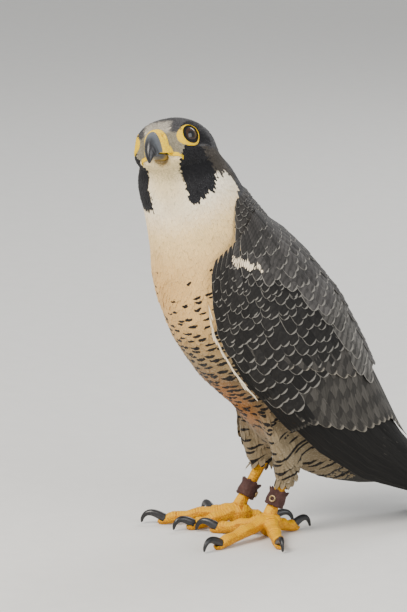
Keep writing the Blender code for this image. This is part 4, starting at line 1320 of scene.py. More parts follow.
CAPE_TIERS = []
for k, a in enumerate(np.linspace(0.56, 0.0, 8)):
    shift = 0.02 * (k % 2)
    far = a + np.interp(k, (0, 7), (0.32, 0.16))
    low, high = 0.01 + shift, 0.97 + shift
    CAPE_TIERS.append(row(23, ((a, low), (a, high)), ((far, low), (far, high)), (7.6 - 0.25 * k,) * 2,
                          0.3 + 0.08 * k, 0.6, 0.2, "covert", "cape", 0.011))
cape_made = made_tiers(CAPE_TIERS, cape_points, 0.88)
cape_mesh = feather_mesh("cape_feathers", cape_made, False)
add_piece("cape_feathers", cape_mesh, SLATE_FEATHER)
print("feathers in the cape:", sum(len(t["root"]) for t in CAPE_TIERS))

# %% [markdown]
# The folded wings nearly meet over the back, and small feathers of the back roof the slit between them.
# Short rows on the wings' own form do the same, from the rump up to the cape.

# %% Feathers along the spine
def spine_points(a, b, height=0.0):
    """A strip down the middle of the back, on the form of the wings, that roofs the slit between them."""
    return form_points(WING_SECTIONS, 1.0 + 4.4 * a, 62 + 56 * b, height)


SPINE_TIERS = []
for k, a in enumerate(np.linspace(0.86, -0.05, 18)):
    shift = 0.08 * (k % 2)
    low, high = 0.02 + shift, 0.90 + shift
    level = 4.6 + 0.03 * k - np.interp(a, (-0.05, 0.12), (2.4, 0.0))
    far = a + 0.13
    SPINE_TIERS.append(row(6, ((a, low), (a, high)), ((far, low), (far, high)), (12.5 - 0.2 * k,) * 2,
                           level, 0.5, 0.2, "covert", "mantle", 0.010))
    SPINE_TIERS[-1]["tone"] = np.interp(a, (0.0, 0.5, 0.86), (0.7, 1.4, 2.0))
spine_made = made_tiers(SPINE_TIERS, spine_points, 0.88)
spine_mesh = feather_mesh("spine_feathers", spine_made, False)
add_piece("spine_feathers", spine_mesh, SLATE_FEATHER)
print("feathers along the spine:", sum(len(t["root"]) for t in SPINE_TIERS))

# %% [markdown]
# Under the feathers a thin dark shell stands for the wing itself, so no light falls through. A Solidify
# modifier on one sheet would do. Two grids on the wing form, joined along their rims, keep its levels.

# %% Wing shell
def wing_shell(name, flip):
    bm = bmesh.new()
    grids = []
    for depth in (-1.4, -3.0):
        grid = bmesh.ops.create_grid(bm, x_segments=26, y_segments=12, size=0.5)
        for vert in grid["verts"]:
            a, b = (vert.co.x + 0.5) * 0.80 + 0.06, (vert.co.y + 0.5) * 0.92 + 0.04
            a, b = np.array(a), np.array(b)
            sunk = 3.0 * (1 - float(band(b, 0.0, 0.14))) + 2.0 * (1 - float(band(a, 0.04, 0.14)))
            place = wing_points(a, b, depth - sunk)
            if flip:
                place = mirrored_points(place)
            vert.co = Vector(place * MM)
        rim = {e for v in grid["verts"] for e in v.link_edges if len(e.link_faces) == 1}
        grids.append(rim)
    bmesh.ops.bridge_loops(bm, edges=list(grids[0] | grids[1]))
    return mesh_from(bm, name)


def build_shell_finish():
    finish, w, shader = new_finish("wing_shell_down", Specular_IOR_Level=0.2)
    fine = w.noise(w.place(), 700.0, 3.0, 0.6)
    colour = w.blend(fine, (0.02, 0.019, 0.018, 1), (0.07, 0.067, 0.062, 1))
    finish_surface(w, shader, colour, w.ramp(fine, 0.2, 0.8, 0.95, 0.8), fine, 0.5, 0.0004)
    return finish


SHELL_FINISH = build_shell_finish()
for side, flip in (("left", False), ("right", True)):
    add_piece(f"wing_{side}_shell", wing_shell(f"shell_{side}", flip), SHELL_FINISH)

# %% [markdown]
# Twelve tail feathers lie nearly flat on each other, the middle pair on top, with barred webs, and
# coverts cover their roots. They could be set one by one. A curved form of the tail's own lets the
# same function lay them as on the wing.

# %% Tail form and feathers
TAIL_TOP = ((84.0, 61.0), (105.0, 45.0), (127.0, 29.5), (150.0, 15.2), (172.0, 6.6), (207.0, 3.6))


def tail_points(a, b, height=0.0):
    place = spline_rows(TAIL_TOP, a * (len(TAIL_TOP) - 1))
    width = 2 * b - 1
    x = width * (13.0 + 12.0 * a)
    z = place[..., 1] + height - (4.2 * (1 - a) + 1.0) * width**2
    return np.stack(np.broadcast_arrays(x, place[..., 0] + 0.5 * height, z), -1) + SHIFT


tail_made = []
for i in range(12):
    place = i / 11
    middle = abs(2 * place - 1)
    tip = (1.0 - 0.05 * middle, 0.5 + (place - 0.5) * 0.86)
    root = (0.28, 0.5 + (place - 0.5) * 0.6)
    lean = 0.35 if place < 0.5 else -0.35
    tier = row(1, (root,), (tip,), (14.0,), -0.1 - 1.9 * middle, 0.3, lean, "flight", "secondary")
    pattern, points = blades_on(tail_points, tier)
    points[..., 2] = np.maximum(points[..., 2], 0.15)
    look = np.array([[0.062, 0.060, 0.058, 0.8, 0.85, 0.0]])
    tail_made.append((pattern, points, look, np.array([[0.1 + 0.06 * i, 0.5]]), np.array([place])))
for k in range(5):
    start = 0.36 - 0.07 * k
    far = start + 0.17
    tier = row(7, ((start, 0.9), (start, 0.1)), ((far, 0.88), (far, 0.12)), (11.0,), 1.2 + 0.5 * k,
               0.5, 0.1, "covert", "scapular", 0.01)
    tier["tone"] = 2.0
    pattern, points = blades_on(tail_points, tier)
    unwrap = np.column_stack((tier["root"][:, 1], 0.2 + 0.4 * tier["root"][:, 0]))
    tail_made.append((pattern, points, tier_looks(tier), unwrap, rng.random(7)))
tail_mesh = feather_mesh("tail_feathers", tail_made, False)
add_piece("tail_feathers", tail_mesh, FLIGHT_FEATHER)

# %% [markdown]
# Inside the feathers lies the fleshy root of the tail. A short tube along the body's own sections
# stands for it, so that no one looks into the bird from behind.

# %% Tail root
def tail_root_mesh():
    turns = np.linspace(0, 360, 25)[:-1]
    bm = bmesh.new()
    rings = [form_points(BODY_SECTIONS, np.full(24, t), turns, -1.6) * MM for t in np.linspace(9.4, 12.8, 9)]
    bridge_rings(bm, rings)
    return mesh_from(bm, "tail_root")


add_piece("tail_root", tail_root_mesh(), SHELL_FINISH, ("tail",))

# %% [markdown]
# A falcon's eye is large, dark and wet. The ball is a UV sphere turned so that its pole looks out
# along the line of sight, which makes pupil and iris plain rings round the pole.
# A picture of an eye could be wrapped round it. Instead an attribute stores how far each point is from
# the pole, and the shader draws the rings from that.

# %% Eyeballs
def eyeball(side):
    bm = bmesh.new()
    bmesh.ops.create_uvsphere(bm, u_segments=48, v_segments=32, radius=1.0)
    frame_here = eye_frame(side)
    gaze = []
    for vert in bm.verts:
        angle = math.degrees(math.acos(max(-1, min(1, vert.co.z))))
        bulge = 0.45 * max(0.0, 1 - (angle / 38) ** 2)
        gaze.append(angle / 90)
        vert.co = (frame_here @ (vert.co * (EYE_RADIUS - 0.1 + bulge))) * MM
    mesh = mesh_from(bm, "eyeball")
    write_value(mesh, "gaze", gaze)
    return mesh


def build_eye_finish():
    finish, w, shader = new_finish("wet_eye", Roughness=0.25, Coat_Weight=0.7, Coat_Roughness=0.02,
                                   Specular_IOR_Level=0.25)
    gaze = w.attribute("gaze").outputs["Fac"]
    flecks = w.noise(w.place(), 1500.0, 3.0, 0.6)
    iris = w.blend(w.ramp(flecks, 0.3, 0.7), (0.010, 0.003, 0.001, 1), (0.036, 0.010, 0.002, 1))
    rimmed = w.blend(w.ramp(gaze, 0.36, 0.44), iris, (0.008, 0.006, 0.006, 1))
    seen = w.blend(w.ramp(gaze, 0.16, 0.19), (0.001, 0.001, 0.0015, 1), rimmed)
    w.plug(seen, shader.inputs["Base Color"])
    return finish


EYE_FINISH = build_eye_finish()
for side, name in ((1, "left"), (-1, "right")):
    add_piece(f"eyeball_{name}", eyeball(side), EYE_FINISH, (f"eye_{name}",))

# %% [markdown]
# Bare parts, the rings round the eyes, the cere, the corners of the mouth and the feet, are covered
# in tiny rounded scales over waxy yellow skin. One node group makes the scales for all of them.

# %% Scaly skin pattern
def build_scale_pattern():
    inputs = (
        ("Scale size", "NodeSocketFloat", 900.0),
        ("Skin colour", "NodeSocketColor", (0.75, 0.42, 0.03, 1.0)),
        ("Crease colour", "NodeSocketColor", (0.36, 0.15, 0.012, 1.0)),
        ("Patchiness", "NodeSocketFloat", 0.5),
    )
    group, given, out = node_group("scaly_skin_pattern", inputs, SURFACE_OUTPUTS)
    w = Wiring(group)
    place = w.place()
    edge = w.cells(place, given.outputs["Scale size"])
    crease = w.ramp(edge, 0.0, 0.14, 1.0, 0.0)
    patches = w.noise(place, 160.0, 3.0, 0.55)
    warm = w.blend(w.times(w.ramp(patches, 0.35, 0.75), given.outputs["Patchiness"]),
                   given.outputs["Skin colour"], (0.86, 0.54, 0.002, 1.0))
    creased = w.blend(w.times(crease, 0.6), warm, given.outputs["Crease colour"])
    w.plug(creased, out.inputs["Color"])
    w.plug(w.ramp(patches, 0.2, 0.8, 0.35, 0.6), out.inputs["Roughness"])
    w.plug(w.ramp(edge, 0.0, 0.25), out.inputs["Height"])
    return group


SCALE_PATTERN = build_scale_pattern()


def scaly_finish(name, size, colour, crease, patchiness, bump, mask=None, mask_colour=None):
    finish, w, shader = new_finish(name, Subsurface_Weight=0.08, Subsurface_Scale=0.002,
                                   Specular_IOR_Level=0.2)
    shader.inputs["Subsurface Radius"].default_value = (1.0, 0.5, 0.2)
    made = w.placed(SCALE_PATTERN, Scale_size=size, Skin_colour=(*colour, 1.0), Crease_colour=(*crease, 1.0),
                    Patchiness=patchiness)
    shown = made["Color"]
    if mask:
        shown = w.blend(w.attribute(mask).outputs["Fac"], shown, (*mask_colour, 1.0))
    finish_surface(w, shader, shown, made["Roughness"], made["Height"], bump, 0.0003)
    return finish


FACE_SKIN = scaly_finish("yellow_face_skin", 1500.0, (0.80, 0.54, 0.002), (0.50, 0.22, 0.006), 0.3, 0.35)
print("scale pattern nodes:", len(SCALE_PATTERN.nodes))

# %% [markdown]
# A falcon's eye sits in a ring of bare yellow skin, wider towards the bill. It could be cut from the
# skin, but a closed profile taken round the opening, and laid on eyeball and skin by rays, fits both.

# %% Rings of bare skin round the eyes
RING_TURNS = np.linspace(-math.pi, math.pi, 73)[:-1]
OPENING = 6.9


def skin_level(frame_here, ahead, up):
    """How far out the skin lies at a place in the eye's frame."""
    start = frame_here @ Vector((ahead, up, 40.0))
    hit = SKIN_TREE.ray_cast(start, (frame_here.to_3x3() @ Vector((0, 0, -1))))[0]
    return (frame_here.inverted() @ hit).z if hit is not None else 6.0


def eye_ring(side):
    frame_here = eye_frame(side)
    profile = ((0.0, -1.0), (0.0, -0.2), (0.06, 0.45), (0.14, 0.75), (0.26, 0.75), (0.42, 0.6), (0.6, 0.5),
               (0.8, 0.45), (0.95, 0.3), (1.0, -0.4), (0.9, -1.4), (0.4, -1.6))
    ball = math.sqrt(EYE_RADIUS**2 - OPENING**2) + 0.1
    rings = [[] for _ in profile]
    for turn in RING_TURNS:
        edge = float(lookup(RING_EDGE, 1, math.degrees(turn)))
        outer = skin_level(frame_here, edge * math.cos(turn), edge * math.sin(turn))
        for ring, (share, rise) in zip(rings, profile):
            radius = OPENING + (edge - OPENING) * share
            sunk = math.sqrt(max(EYE_RADIUS**2 - radius**2, 0.0)) if radius < EYE_RADIUS else 0.0
            level = ball + (outer - ball) * share**1.2
            if rise > -1 and share > 0.05:
                here = skin_level(frame_here, radius * math.cos(turn), radius * math.sin(turn))
                level = max(level, sunk + 0.15, here)
            fold = 0.10 * math.sin(turn * 22 + 9 * share) + 0.10 * math.sin(turn * 7 + 14 * share)
            fold *= math.sin(math.pi * min(1, share * 1.1))
            place = Vector((radius * math.cos(turn), radius * math.sin(turn), level + rise + fold))
            ring.append((frame_here @ place) * MM)
    bm = bmesh.new()
    bridge_rings(bm, rings, round_trip=True)
    return mesh_from(bm, "eye_ring")


for side, name in ((1, "left"), (-1, "right")):
    add_piece(f"eye_ring_{name}", eye_ring(side), FACE_SKIN)

# %% [markdown]
# The bill is horn, hooked, with the falcon's tooth on its cutting edge. The waxy cere covers its base
# and holds the round nostrils, each with a small cone inside. Both are lofted from one table of rings,
# so they fit each other: ridge y and z, edge y and z, and half width.

# %% Bill rows
UPPER_BILL = (
    (-7.0, 1.0, -7.0, -12.6, 7.5),
    (-14.5, 3.2, -13.5, -12.8, 8.6),
    (-20.0, 3.4, -19.0, -13.0, 8.0),
    (-24.6, 1.8, -23.0, -13.2, 6.9),
    (-28.6, -1.8, -26.2, -13.8, 5.6),
    (-31.6, -6.6, -28.6, -14.8, 4.3),
    (-33.2, -11.8, -30.2, -16.4, 3.1),
    (-33.4, -16.8, -31.2, -18.8, 1.9),
    (-32.7, -20.8, -32.0, -21.2, 0.6),
)
LOWER_BILL = (
    (-7.0, -13.5, -7.0, -17.1, 5.4),
    (-13.0, -13.6, -12.5, -16.9, 5.4),
    (-19.0, -13.9, -18.0, -16.7, 4.6),
    (-24.0, -14.3, -23.5, -16.4, 3.4),
    (-27.4, -15.2, -27.2, -16.1, 1.6),
)
NOSTRIL = np.array((8.0, -20.0, -1.2))


def bill_ring(rows, t, grow):
    """A ring in the head frame: an arch over the ridge and a nearly flat underside."""
    ridge_y, ridge_z, edge_y, edge_z, half = spline_rows(rows, np.array(t))
    top, low = np.array((0, ridge_y, ridge_z)), np.array((0, edge_y, edge_z))
    up = (top - low) / np.linalg.norm(top - low)
    top, low, half = top + up * grow, low - up * grow, half + grow
    turns = np.linspace(0, math.pi, 44)
    side = signed_power(np.cos(turns), 2 / 2.4) * half
    rise = np.abs(np.sin(turns)) ** (2 / 1.9)
    over = low + (top - low) * rise[:, None]
    over[:, 0] = side
    back = np.linspace(-0.8, 0.8, 9)
    under = np.tile(low + up * 0.5, (9, 1))
    under[:, 0] = back * half
    return np.vstack((over, under))


def carried(points):
    """Head-frame places as world places in metres."""
    return [(HEAD @ Vector(p)) * MM for p in points]


print("ring at the cere:", bill_ring(UPPER_BILL, 2.0, 0.0).shape)

# %% [markdown]
# The cere is soft and a little swollen. Its rings are the bill's own rings, grown by some tenths of a
# millimetre. A dent with a rim and a cone in it makes each nostril, so no Boolean is needed.

# %% Cere and nostrils
CERE_START, CERE_END = 1.05, 2.75


def cere_mesh():
    """The cere flares from the horn to a wider rim that meets the face."""
    rings = []
    for t in np.linspace(CERE_START, CERE_END, 46):
        share = (t - CERE_START) / (CERE_END - CERE_START)
        puff = 0.30 + 0.40 * math.sin(math.pi * min(1.0, share * 1.02)) ** 0.7
        ring = bill_ring(UPPER_BILL, t, puff)
        flare = (1 - share) ** 1.4
        ring[:, 0] *= 1 + 0.30 * flare
        ring[:, 2] += 1.3 * flare * (ring[:, 2] > -6)
        ring[:, 1] += (0.9 * np.cos(ring[:, 0] / 8 * math.pi) * share
                       + 1.2 * flare * (np.abs(ring[:, 0]) / 12) ** 2)
        for side in (1, -1):
            off = ring - NOSTRIL * (side, 1, 1)
            out = np.linalg.norm(off[:, 1:], axis=1)
            here = (ring[:, 0] * side > 2.5) & (out < 4)
            dent = -1.7 * np.exp(-((out / 1.35) ** 6)) + 1.5 * np.exp(-((out / 0.5) ** 2))
            rim = 0.45 * np.exp(-(((out - 1.9) / 0.55) ** 2))
            ring[:, 0] += np.where(here, (dent + rim) * side, 0)
        rings.append(carried(ring))
    bm = bmesh.new()
    bridge_rings(bm, rings)
    return mesh_from(bm, "cere")


CERE_SKIN = scaly_finish("cere_skin", 420.0, (0.88, 0.60, 0.03), (0.62, 0.32, 0.02), 0.4, 0.10)
add_piece("cere", cere_mesh(), CERE_SKIN)

# %% [markdown]
# Horn grows in long layers, so the bill and the claws get streaks along their length, a paler base
# and a black tip. The group reads a reach attribute that runs from 0 at the base to 1 at the tip.

# %% Horn pattern
def build_horn_pattern():
    inputs = (
        ("Base colour", "NodeSocketColor", (0.2, 0.24, 0.3, 1.0)),
        ("Tip colour", "NodeSocketColor", (0.01, 0.01, 0.012, 1.0)),
        ("Tip start", "NodeSocketFloat", 0.4),
        ("Tip end", "NodeSocketFloat", 0.8),
        ("Wear", "NodeSocketFloat", 0.3),
    )
    group, given, out = node_group("horn_pattern", inputs, SURFACE_OUTPUTS)
    w = Wiring(group)
    reach = w.attribute("reach").outputs["Fac"]
    place = w.place()
    streaks = w.noise(place, 700.0, 4.0, 0.7)
    clouds = w.noise(place, 180.0, 2.0)
    shifted = w.plus(reach, w.times(w.minus(clouds, 0.5), 0.22))
    tipped = w.ramp(shifted, given.outputs["Tip start"], given.outputs["Tip end"])
    body = w.blend(tipped, given.outputs["Base colour"], given.outputs["Tip colour"])
    scuffed = w.times(w.ramp(streaks, 0.45, 0.75), given.outputs["Wear"])
    worn = w.blend(scuffed, body, (0.20, 0.21, 0.22, 1.0))
    w.plug(worn, out.inputs["Color"])
    w.plug(w.ramp(streaks, 0.3, 0.7, 0.28, 0.45), out.inputs["Roughness"])
    w.plug(streaks, out.inputs["Height"])
    return group


HORN_PATTERN = build_horn_pattern()


def horn_finish(name, base, tip, start, end, bump, wear):
    finish, w, shader = new_finish(name, Coat_Weight=0.15, Coat_Roughness=0.2)
    made = w.placed(HORN_PATTERN, Base_colour=(*base, 1.0), Tip_colour=(*tip, 1.0),
                    Tip_start=start, Tip_end=end, Wear=wear)
    finish_surface(w, shader, made["Color"], made["Roughness"], made["Height"], bump, 0.0002)
    return finish


BILL_HORN = horn_finish("bill_horn", (0.100, 0.112, 0.128), (0.004, 0.004, 0.006), 0.15, 0.52, 0.12, 0.10)
CLAW_HORN = horn_finish("claw_horn", (0.016, 0.016, 0.018), (0.004, 0.004, 0.005), 0.1, 0.6, 0.2, 0.07)
print("horn finishes ready")

# %% [markdown]
# The upper bill closes over the lower one and bears a tooth with a notch beside it. It could be sculpted.
# Here forty rings follow the table, and two narrow waves in their lower edge make tooth and notch.

# %% Upper and lower bill
def lofted_horn(name, rings, reach):
    bm = bmesh.new()
    bridge_rings(bm, rings)
    mesh = mesh_from(bm, name)
    write_value(mesh, "reach", reach)
    return mesh


def upper_bill_mesh(start=2.3, end=8.0, tooth=1.1):
    rings, reach = [], []
    for t in np.linspace(start, end, 40):
        ring = bill_ring(UPPER_BILL, t, 0.0)
        edge = np.exp(-((ring[:, 2] - ring[:, 2].min()) / 1.1) ** 2)
        bite = -math.exp(-(((t - 4.55) / 0.35) ** 2)) + 0.6 * math.exp(-(((t - 5.4) / 0.35) ** 2))
        ring[:, 2] += tooth * bite * edge
        ring[:, 0] *= 1 + 0.015 * math.sin(t * 9)
        rings.append(carried(ring))
        reach += [(t - start) / (end - start)] * len(ring)
    return lofted_horn("bill_upper_horn", rings, reach)


add_piece("bill_upper_horn", upper_bill_mesh(), BILL_HORN, ("bill_upper",))


def lower_bill_mesh():
    rings, reach = [], []
    for t in np.linspace(0.3, 4.0, 26):
        ridge_y, ridge_z, keel_y, keel_z, half = spline_rows(LOWER_BILL, np.array(t))
        turns = np.linspace(0, 2 * math.pi, 29)[:-1]
        rise = np.where(np.sin(turns) > 0, 0.15, 1.0) * np.sin(turns)
        share = np.clip(-rise, -0.2, 1)
        ring = np.column_stack((signed_power(np.cos(turns), 0.9) * half, ridge_y + (keel_y - ridge_y) * share,
                                ridge_z + (keel_z - ridge_z) * share))
        rings.append(carried(ring))
        reach += [t / 4] * len(ring)
    return lofted_horn("bill_lower_horn", rings, reach)


LOWER_HORN = horn_finish("lower_bill_horn", (0.46, 0.30, 0.05), (0.05, 0.055, 0.065), 0.15, 0.5, 0.12, 0.2)
add_piece("bill_lower_horn", lower_bill_mesh(), LOWER_HORN, ("bill_lower",))

# %% [markdown]
# From the bill back under the eye runs the soft yellow corner of the mouth, folded like a lip.
# A curve with a bevel could make it. A tube of rings can also have the crease on its outer side.

# %% Corners of the mouth
# Places y and z in the head frame, then the radius.
GAPE = ((-19.5, -12.9, 0.8), (-17.0, -13.2, 1.2), (-14.6, -13.9, 1.5), (-12.4, -15.0, 1.5),
        (-10.4, -16.4, 1.3), (-8.6, -18.0, 0.7))


def gape_mesh(side):
    turn = HEAD.to_3x3()
    rows = []
    for t in np.linspace(0, len(GAPE) - 1, 22):
        y, z, radius = spline_rows(GAPE, np.array(t))
        start = HEAD @ Vector((40 * side, y, z))
        hit = SKIN_TREE.ray_cast(start, turn @ Vector((-side, 0, 0)))[0]
        x = (HEAD.inverted() @ hit).x if hit is not None else 9.0 * side
        x = side * max(abs(x), 8.7 if y < -13 else 0)
        rows.append((Vector((x, y, z)), radius))
    bm = bmesh.new()
    rings = []
    for i, (place, radius) in enumerate(rows):
        along = (rows[min(i + 1, 21)][0] - rows[max(i - 1, 0)][0]).normalized()
        out = Vector((side, -0.35, 0))
        out = (out - along * out.dot(along)).normalized()
        up = along.cross(out).normalized()
        ring = []
        for k in range(20):
            a = 2 * math.pi * k / 20
            lip = 1 - 0.35 * math.exp(-((math.sin(a) / 0.22) ** 2)) * (math.cos(a) > 0)
            spot = place + out * (math.cos(a) * 0.55 * radius * lip) + up * (math.sin(a) * radius * 1.1)
            ring.append((HEAD @ spot) * MM)
        rings.append(ring)
    bridge_rings(bm, rings)
    return mesh_from(bm, "gape")


for side, name in ((1, "left"), (-1, "right")):
    add_piece(f"gape_{name}", gape_mesh(side), FACE_SKIN)

# %% [markdown]
# Toes and claws bend along a few lines: a hub, a heel, and a heading, length, reach and rise for each
# toe. Bones of an armature could hold them. A table is shorter and keeps to the places of the CAD feet.

# %% Legs as paths
LEGS = {
    "left": {
        "hub": (21.6, 3.5, 14.0), "heel": (23.5, 22.0, 59.0),
        "toes": {"inner": (-39.0, 42.0, 13.5, 3.0), "middle": (25.0, 59.0, 15.5, 5.5),
                 "outer": (74.0, 45.0, 13.0, 3.5), "back": (197.0, 27.0, 14.5, 2.0)},
    },
    "right": {
        "hub": (-18.4, -2.0, 14.0), "heel": (-21.0, 26.0, 59.0),
        "toes": {"inner": (-3.0, 39.0, 13.5, 3.0), "middle": (-30.0, 58.0, 15.0, 6.5),
                 "outer": (-84.0, 40.0, 13.0, 5.0), "back": (168.0, 27.0, 14.5, 2.0)},
    },
}


def toe_path(hub, toe, samples=7):
    """Places along a toe and the way it points, in the frame before the shift."""
    heading, length, _, rise = toe
    turn = math.radians(heading)
    ahead = np.array((math.sin(turn), -math.cos(turn), 0))
    s = np.linspace(0, 1, samples)
    radius = 5.6 - 1.5 * s + 0.45 * np.cos(2 * math.pi * (s * 3.0 + 0.5))
    level = 0.94 * radius - 0.7 + (hub[2] - 6.1) * (1 - s) ** 2.4 + rise * np.sin(math.pi * s) * 0.45
    places = np.array((hub[0], hub[1], 0)) + ahead * (s * length)[:, None]
    places[:, 2] = level
    return places, ahead


def claw_path(hub, toe, samples=22):
    places, ahead = toe_path(hub, toe)
    base = places[-1] - ahead * 3.0 + np.array((0, 0, 1.0))
    s = np.linspace(0, 1, samples)
    swing = s * math.radians(96)
    forward = np.sin(swing) / math.sin(math.radians(96)) * (toe[2] + 3.0) * 0.98
    lift = 5.0 * np.sin(math.pi * np.minimum(1.0, s * 1.15)) - (base[2] - 0.9) * s * s
    out = base + ahead * forward[:, None]
    out[:, 2] += lift
    return out, 3.3 * (1 - s) ** 0.8 + 0.35


print("left middle toe, mm:", toe_path(LEGS["left"]["hub"], LEGS["left"]["toes"]["middle"])[0][-1].round(1))

# %% [markdown]
# The feet are the falcon's tools: long bony toes with knobbly pads below and a row of plates on top.
# They could be sculpted. Here a copy of each CAD foot with its shank is melted finely, and two patterns
# push its points in and out: plates across the top of each toe, small round scales on sides and pads.

# %% Feet
FOOT_VOXEL = 0.00055
SHANK = 9


def foot_places(leg):
    """Guide points along toes and shank: place, upward direction, run along the part, part number."""
    rows = []
    for number, toe in enumerate(leg["toes"].values()):
        places = toe_path(leg["hub"], toe, 60)[0]
        run = np.linspace(0, toe[1], 60)
        up = np.tile((0.0, 0.0, 1.0), (60, 1))
        rows.append(np.column_stack((places, up, run, np.full(60, number))))
    low, high = np.array(leg["hub"]) + (0, 0, 1.0), np.array(leg["heel"])
    share = np.linspace(0.12, 0.9, 50)[:, None]
    places = low + (high - low) * share
    front = np.tile((0.0, -0.95, 0.3), (50, 1))
    rows.append(np.column_stack((places, front, share[:, 0] * 50, np.full(50, SHANK))))
    return np.vstack(rows)


def foot_mesh(name):
    leg = LEGS[name]
    mesh = melted(swollen_copy((f"foot_{name}", f"tarsus_{name}"), 0.00022), FOOT_VOXEL)
    largest_part(mesh)
    smooth_points(mesh, 7)
    guide = foot_places(leg)
    tree = KDTree(len(guide))
    for i, row_here in enumerate(guide):
        tree.insert(row_here[:3] + SHIFT, i)
    tree.balance()
    points = mesh_points(mesh) / MM
    normals = point_normals(mesh)
    nearest = np.array([tree.find(p)[1] for p in points])
    up, run, on_shank = guide[nearest, 3:6], guide[nearest, 6], guide[nearest, 7] == SHANK
    on_top = band((normals * up).sum(1), 0.25, 0.6)
    step = np.where(on_shank, 2.6, 2.1)
    plate = np.abs(np.sin(math.pi * run / step)) ** 0.45
    cells = np.array([noise.voronoi(Vector(p) * 0.78)[0][:2] for p in points])
    pebble = np.clip((cells[:, 1] - cells[:, 0]) * 2.2, 0, 1)
    above_floor = band(points[:, 2], 0.3, 1.4)
    push = (0.42 * (plate - 0.75) * on_top + 0.30 * (pebble - 0.6) * (1 - on_top)) * above_floor
    points += normals * push[:, None]
    points[:, 2] = np.maximum(points[:, 2], 0.0)
    mesh.vertices.foreach_set("co", (points * MM).ravel())
    mesh.update()
    crease = np.where(on_top > 0.5, 1 - plate, 1 - pebble)
    write_value(mesh, "crease", np.clip(crease * 0.9, 0, 1))
    mesh.shade_smooth()
    return mesh


FOOT_SKIN = scaly_finish("foot_skin", 1400.0, (0.84, 0.43, 0.0), (0.36, 0.11, 0.002), 0.45, 0.25,
                         "crease", (0.36, 0.11, 0.003))
for name in ("left", "right"):
    covered = (f"foot_{name}", f"tarsus_{name}")
    add_piece(f"foot_{name}_scaly", foot_mesh(name), FOOT_SKIN, covered)

# %% [markdown]
# Each claw is a tapering hook of dark horn with a groove along its underside.
# It is lofted from rings set square to a curved path, the way a horn or a thorn could be made too.

# %% Claws
def claw_mesh(leg, toe):
    path, radius = claw_path(leg["hub"], toe)
    path = path + SHIFT
    rings, reach = [], []
    for i in range(len(path)):
        along = Vector(path[min(i + 1, len(path) - 1)] - path[max(i - 1, 0)]).normalized()
        side = along.cross(Vector((0, 0, 1)) if abs(along.z) < 0.97 else Vector((0, 1, 0))).normalized()
        rise = side.cross(along).normalized()
        ring = []
        for k in range(18):
            turn = 2 * math.pi * k / 18
            keel = 1.0 - 0.16 * max(0.0, -math.sin(turn)) ** 4 + 0.05 * max(0.0, math.sin(turn)) ** 6
            spot = Vector(path[i]) + side * (math.cos(turn) * radius[i] * 0.86 * keel)
            spot += rise * (math.sin(turn) * radius[i] * keel)
            spot.z = max(spot.z, 0.0)
            ring.append(spot * MM)
        rings.append(ring)
        reach += [i / (len(path) - 1)] * 18
    return lofted_horn("talon", rings, reach)


for name, leg in LEGS.items():
    for toe_name, toe in leg["toes"].items():
        part_name = f"{toe_name}_{name}"
        add_piece(f"talon_{part_name}", claw_mesh(leg, toe), CLAW_HORN, (f"claw_{part_name}",))

# %% [markdown]
# Greased leather is dark, with a fine grain, creases and paler worn places, and brass wears dull.
# Pictures could be wrapped round both, but noise on Object coordinates shows no seam.

# %% Leather pattern
def build_leather_finish():
    finish, w, shader = new_finish("anklet_leather", Specular_IOR_Level=0.4)
    place = w.place()
    grain = w.cells(place, 1300.0)
    creases = w.noise(place, 260.0, 4.0, 0.65)
    worn = w.ramp(w.noise(place, 90.0, 3.0, 0.6), 0.5, 0.72)
    dark = w.blend(creases, (0.020, 0.006, 0.005, 1), (0.070, 0.019, 0.013, 1))
    colour = w.blend(w.times(worn, 0.4), dark, (0.12, 0.048, 0.032, 1))
    height = w.plus(w.ramp(grain, 0.0, 0.2), w.times(creases, 1.5))
    finish_surface(w, shader, colour, w.ramp(creases, 0.3, 0.7, 0.65, 0.42), height, 0.5, 0.0004)
    return finish


LEATHER = build_leather_finish()


def build_brass_finish():
    finish, w, shader = new_finish("worn_brass", Metallic=1.0)
    scuffs = w.noise(w.place(), 1200.0, 4.0, 0.7)
    colour = w.blend(scuffs, (0.22, 0.15, 0.07, 1), (0.48, 0.36, 0.19, 1))
    finish_surface(w, shader, colour, w.ramp(scuffs, 0.3, 0.7, 0.3, 0.55), scuffs, 0.2, 0.0002)
    return finish


BRASS = build_brass_finish()
print("leather and brass ready")

# %% [markdown]
# The falcon wears soft leather anklets, flared into a frill at the upper edge, with a brass eyelet each.
# A spin of the profile would make a plain band. Here each point of the profile becomes a ring round the
# leg, so that the frill can wave.

# %% Anklets
def frame_along(start, end):
    z = (Vector(end) - Vector(start)).normalized()
    y = z.cross(Vector((1, 0, 0))).normalized()
    turn = Matrix((y.cross(z), y, z)).transposed().to_4x4()
    return Matrix.Translation(Vector(start) + Vector(SHIFT)) @ turn


# Radius, height along the leg, and how much the frill waves there.
BAND_PROFILE = ((5.4, 9.3, 0.1), (5.35, 12.0, 0), (5.4, 15.5, 0), (5.6, 18.5, 0), (6.1, 20.6, 1),
                (6.9, 21.4, 1.3), (7.5, 21.2, 1.3), (7.2, 19.6, 0.8), (6.6, 18.0, 0.2), (7.0, 15.5, 0),
                (7.3, 12.8, 0), (7.0, 10.8, 0.1), (7.25, 9.6, 0.5), (6.6, 9.0, 0.4))


